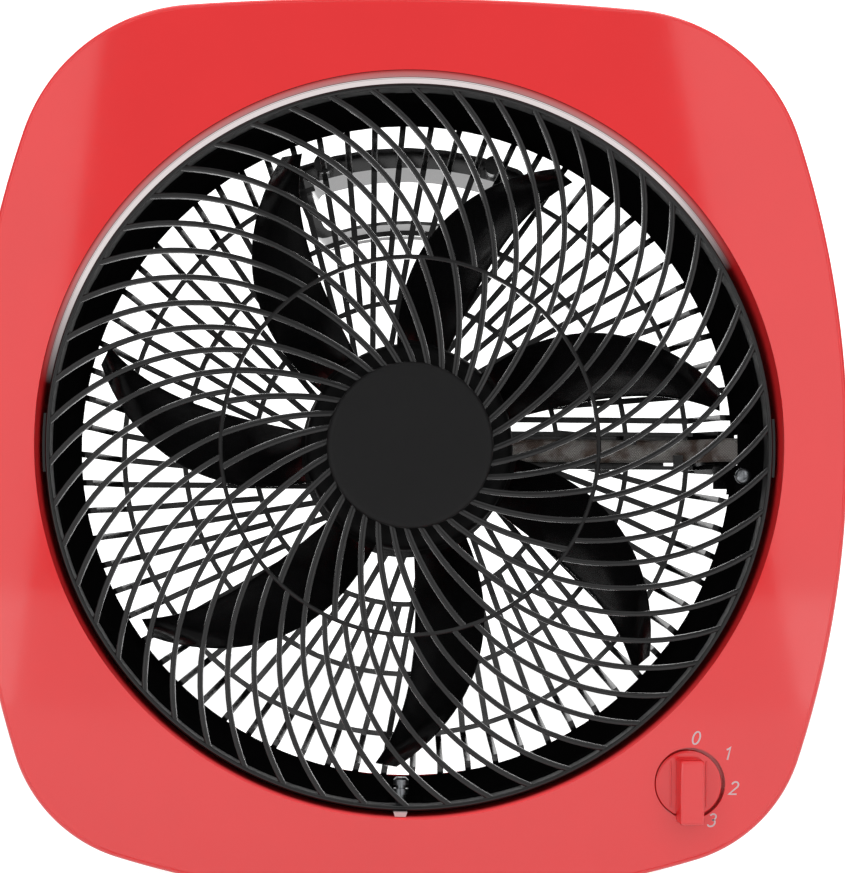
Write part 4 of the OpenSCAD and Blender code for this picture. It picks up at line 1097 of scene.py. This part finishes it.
class FAN_OT_studio(Operator):
    """Sets up the camera, the softboxes, the white floor and backdrop, and the room's light"""
    bl_idname = "fan.studio"
    bl_label = "Studio"

    def execute(self, context):
        scene = context.scene
        studio = scene.fan_studio
        camera = bpy.data.objects.new("camera", bpy.data.cameras.new("camera"))
        camera.data.sensor_fit = "VERTICAL"
        camera.data.sensor_height = 36
        camera.data.lens = studio.lens
        camera.data.clip_start = 0.01
        camera.location = at(studio.camera_x, studio.camera_up, -studio.distance)
        camera.rotation_euler = self.aim(CAMERA_AHEAD, CAMERA_UP)
        scene.collection.objects.link(camera)
        scene.camera = camera

        in_front, width, whole_height, head = -1.3, 1.2, 1.5, 1.47
        for side, out, lean, foot in ((-1, 0.826, -0.12, -0.03), (1, 0.817, -0.19, 0.06)):
            height = head - foot
            self.softbox(
                "side softbox", (side * out, in_front, (head + foot) / 2), (width, height),
                studio.key * height / whole_height, side * lean
            )
        self.softbox("top softbox", (0.0, -0.1, 1.5), (1.2, 1.2), studio.top)
        self.sheet("floor", 6, lit_white("floor white", level=0.62, mirrored=1.16, diffuse=0.8))
        wall = self.sheet("backdrop", 2.4, lit_white("backdrop white", level=1.0, mirrored=2.2, diffuse=0.8))
        wall.rotation_euler = (math.pi / 2, 0, 0)
        wall.location = (0, 2.2, 2.3)
        self.room(studio.ambient)
        scene.view_settings.view_transform = "Standard"
        return {"FINISHED"}

    @staticmethod
    def aim(forward, up):
        """Rotation of a camera or lamp that faces forward, with that way up."""
        back = -forward.normalized()
        right = up.cross(back).normalized()
        return Matrix((right, back.cross(right), back)).transposed().to_euler("XYZ")

    def softbox(self, name, place, size, watts, lean=None):
        """An area lamp that faces the fan, or one that stands upright in front of it and leans sideways."""
        lamp = bpy.data.lights.new(name, "AREA")
        lamp.shape = "RECTANGLE"
        lamp.size, lamp.size_y = size
        lamp.energy = watts
        box = bpy.data.objects.new(name, lamp)
        box.location = place
        if lean is None:
            box.rotation_euler = self.aim(FAN_MIDDLE - Vector(place), Vector((0, 0.01, 1)))
        else:
            box.rotation_euler = self.aim(Vector((0, 1, 0)), Vector((math.sin(lean), 0, math.cos(lean))))
        bpy.context.scene.collection.objects.link(box)

    @staticmethod
    def sheet(name, reach, material):
        """A flat square of the stage, which reaches that far from its middle."""
        bm = bmesh.new()
        bmesh.ops.create_grid(bm, x_segments=1, y_segments=1, size=reach)
        piece = finish_piece(bm, name, material)
        return piece

    @staticmethod
    def room(ambient):
        """White to the camera, and a plain room light to everything else."""
        world = bpy.data.worlds.new("room")
        bpy.context.scene.world = world
        world.use_nodes = True
        tree = world.node_tree
        tree.nodes.clear()
        path = tree.nodes.new("ShaderNodeLightPath")
        room, seen = tree.nodes.new("ShaderNodeBackground"), tree.nodes.new("ShaderNodeBackground")
        room.inputs["Strength"].default_value = ambient
        seen.inputs["Strength"].default_value = 1.0
        for shade in (room, seen):
            shade.inputs["Color"].default_value = (1, 1, 1, 1)
        mix = tree.nodes.new("ShaderNodeMixShader")
        out = tree.nodes.new("ShaderNodeOutputWorld")
        tree.links.new(path.outputs["Is Camera Ray"], mix.inputs["Fac"])
        tree.links.new(room.outputs[0], mix.inputs[1])
        tree.links.new(seen.outputs[0], mix.inputs[2])
        tree.links.new(mix.outputs[0], out.inputs["Surface"])


class FAN_PT_sidebar(Panel):
    """Lists the fan's pieces and the studio"""
    bl_idname = "FAN_PT_sidebar"
    bl_label = "Box fan"
    bl_space_type = "VIEW_3D"
    bl_region_type = "UI"
    bl_category = "Fan"

    def draw(self, context):
        layout = self.layout
        for group in GROUPS:
            settings = getattr(context.scene, group)
            box = layout.box()
            for prop in settings.bl_rna.properties:
                if prop.identifier not in ("rna_type", "name"):
                    box.prop(settings, prop.identifier)
        for operator in OPERATORS:
            layout.operator(operator.bl_idname)


OPERATORS = (
    FAN_OT_studio, FAN_OT_front_shell, FAN_OT_rear_shell, FAN_OT_front_grille, FAN_OT_impeller,
    FAN_OT_speed_knob, FAN_OT_duct_and_back, FAN_OT_motor
)
GROUPS = {
    "casing_sizes": CasingSizes, "grille_sizes": GrilleSizes, "impeller_sizes": ImpellerSizes,
    "knob_sizes": KnobSizes, "fan_finishes": FanFinishes, "fan_studio": StudioSettings
}
CLASSES = (*GROUPS.values(), *OPERATORS, FAN_PT_sidebar)


def register():
    for cls in CLASSES:
        bpy.utils.register_class(cls)
    for name, group in GROUPS.items():
        setattr(bpy.types.Scene, name, PointerProperty(type=group))


def unregister():
    for name in GROUPS:
        delattr(bpy.types.Scene, name)
    for cls in reversed(CLASSES):
        bpy.utils.unregister_class(cls)


def main():
    register()
    for operator in OPERATORS:
        group, name = operator.bl_idname.split(".")
        getattr(getattr(bpy.ops, group), name)()


if __name__ == "__main__":
    main()
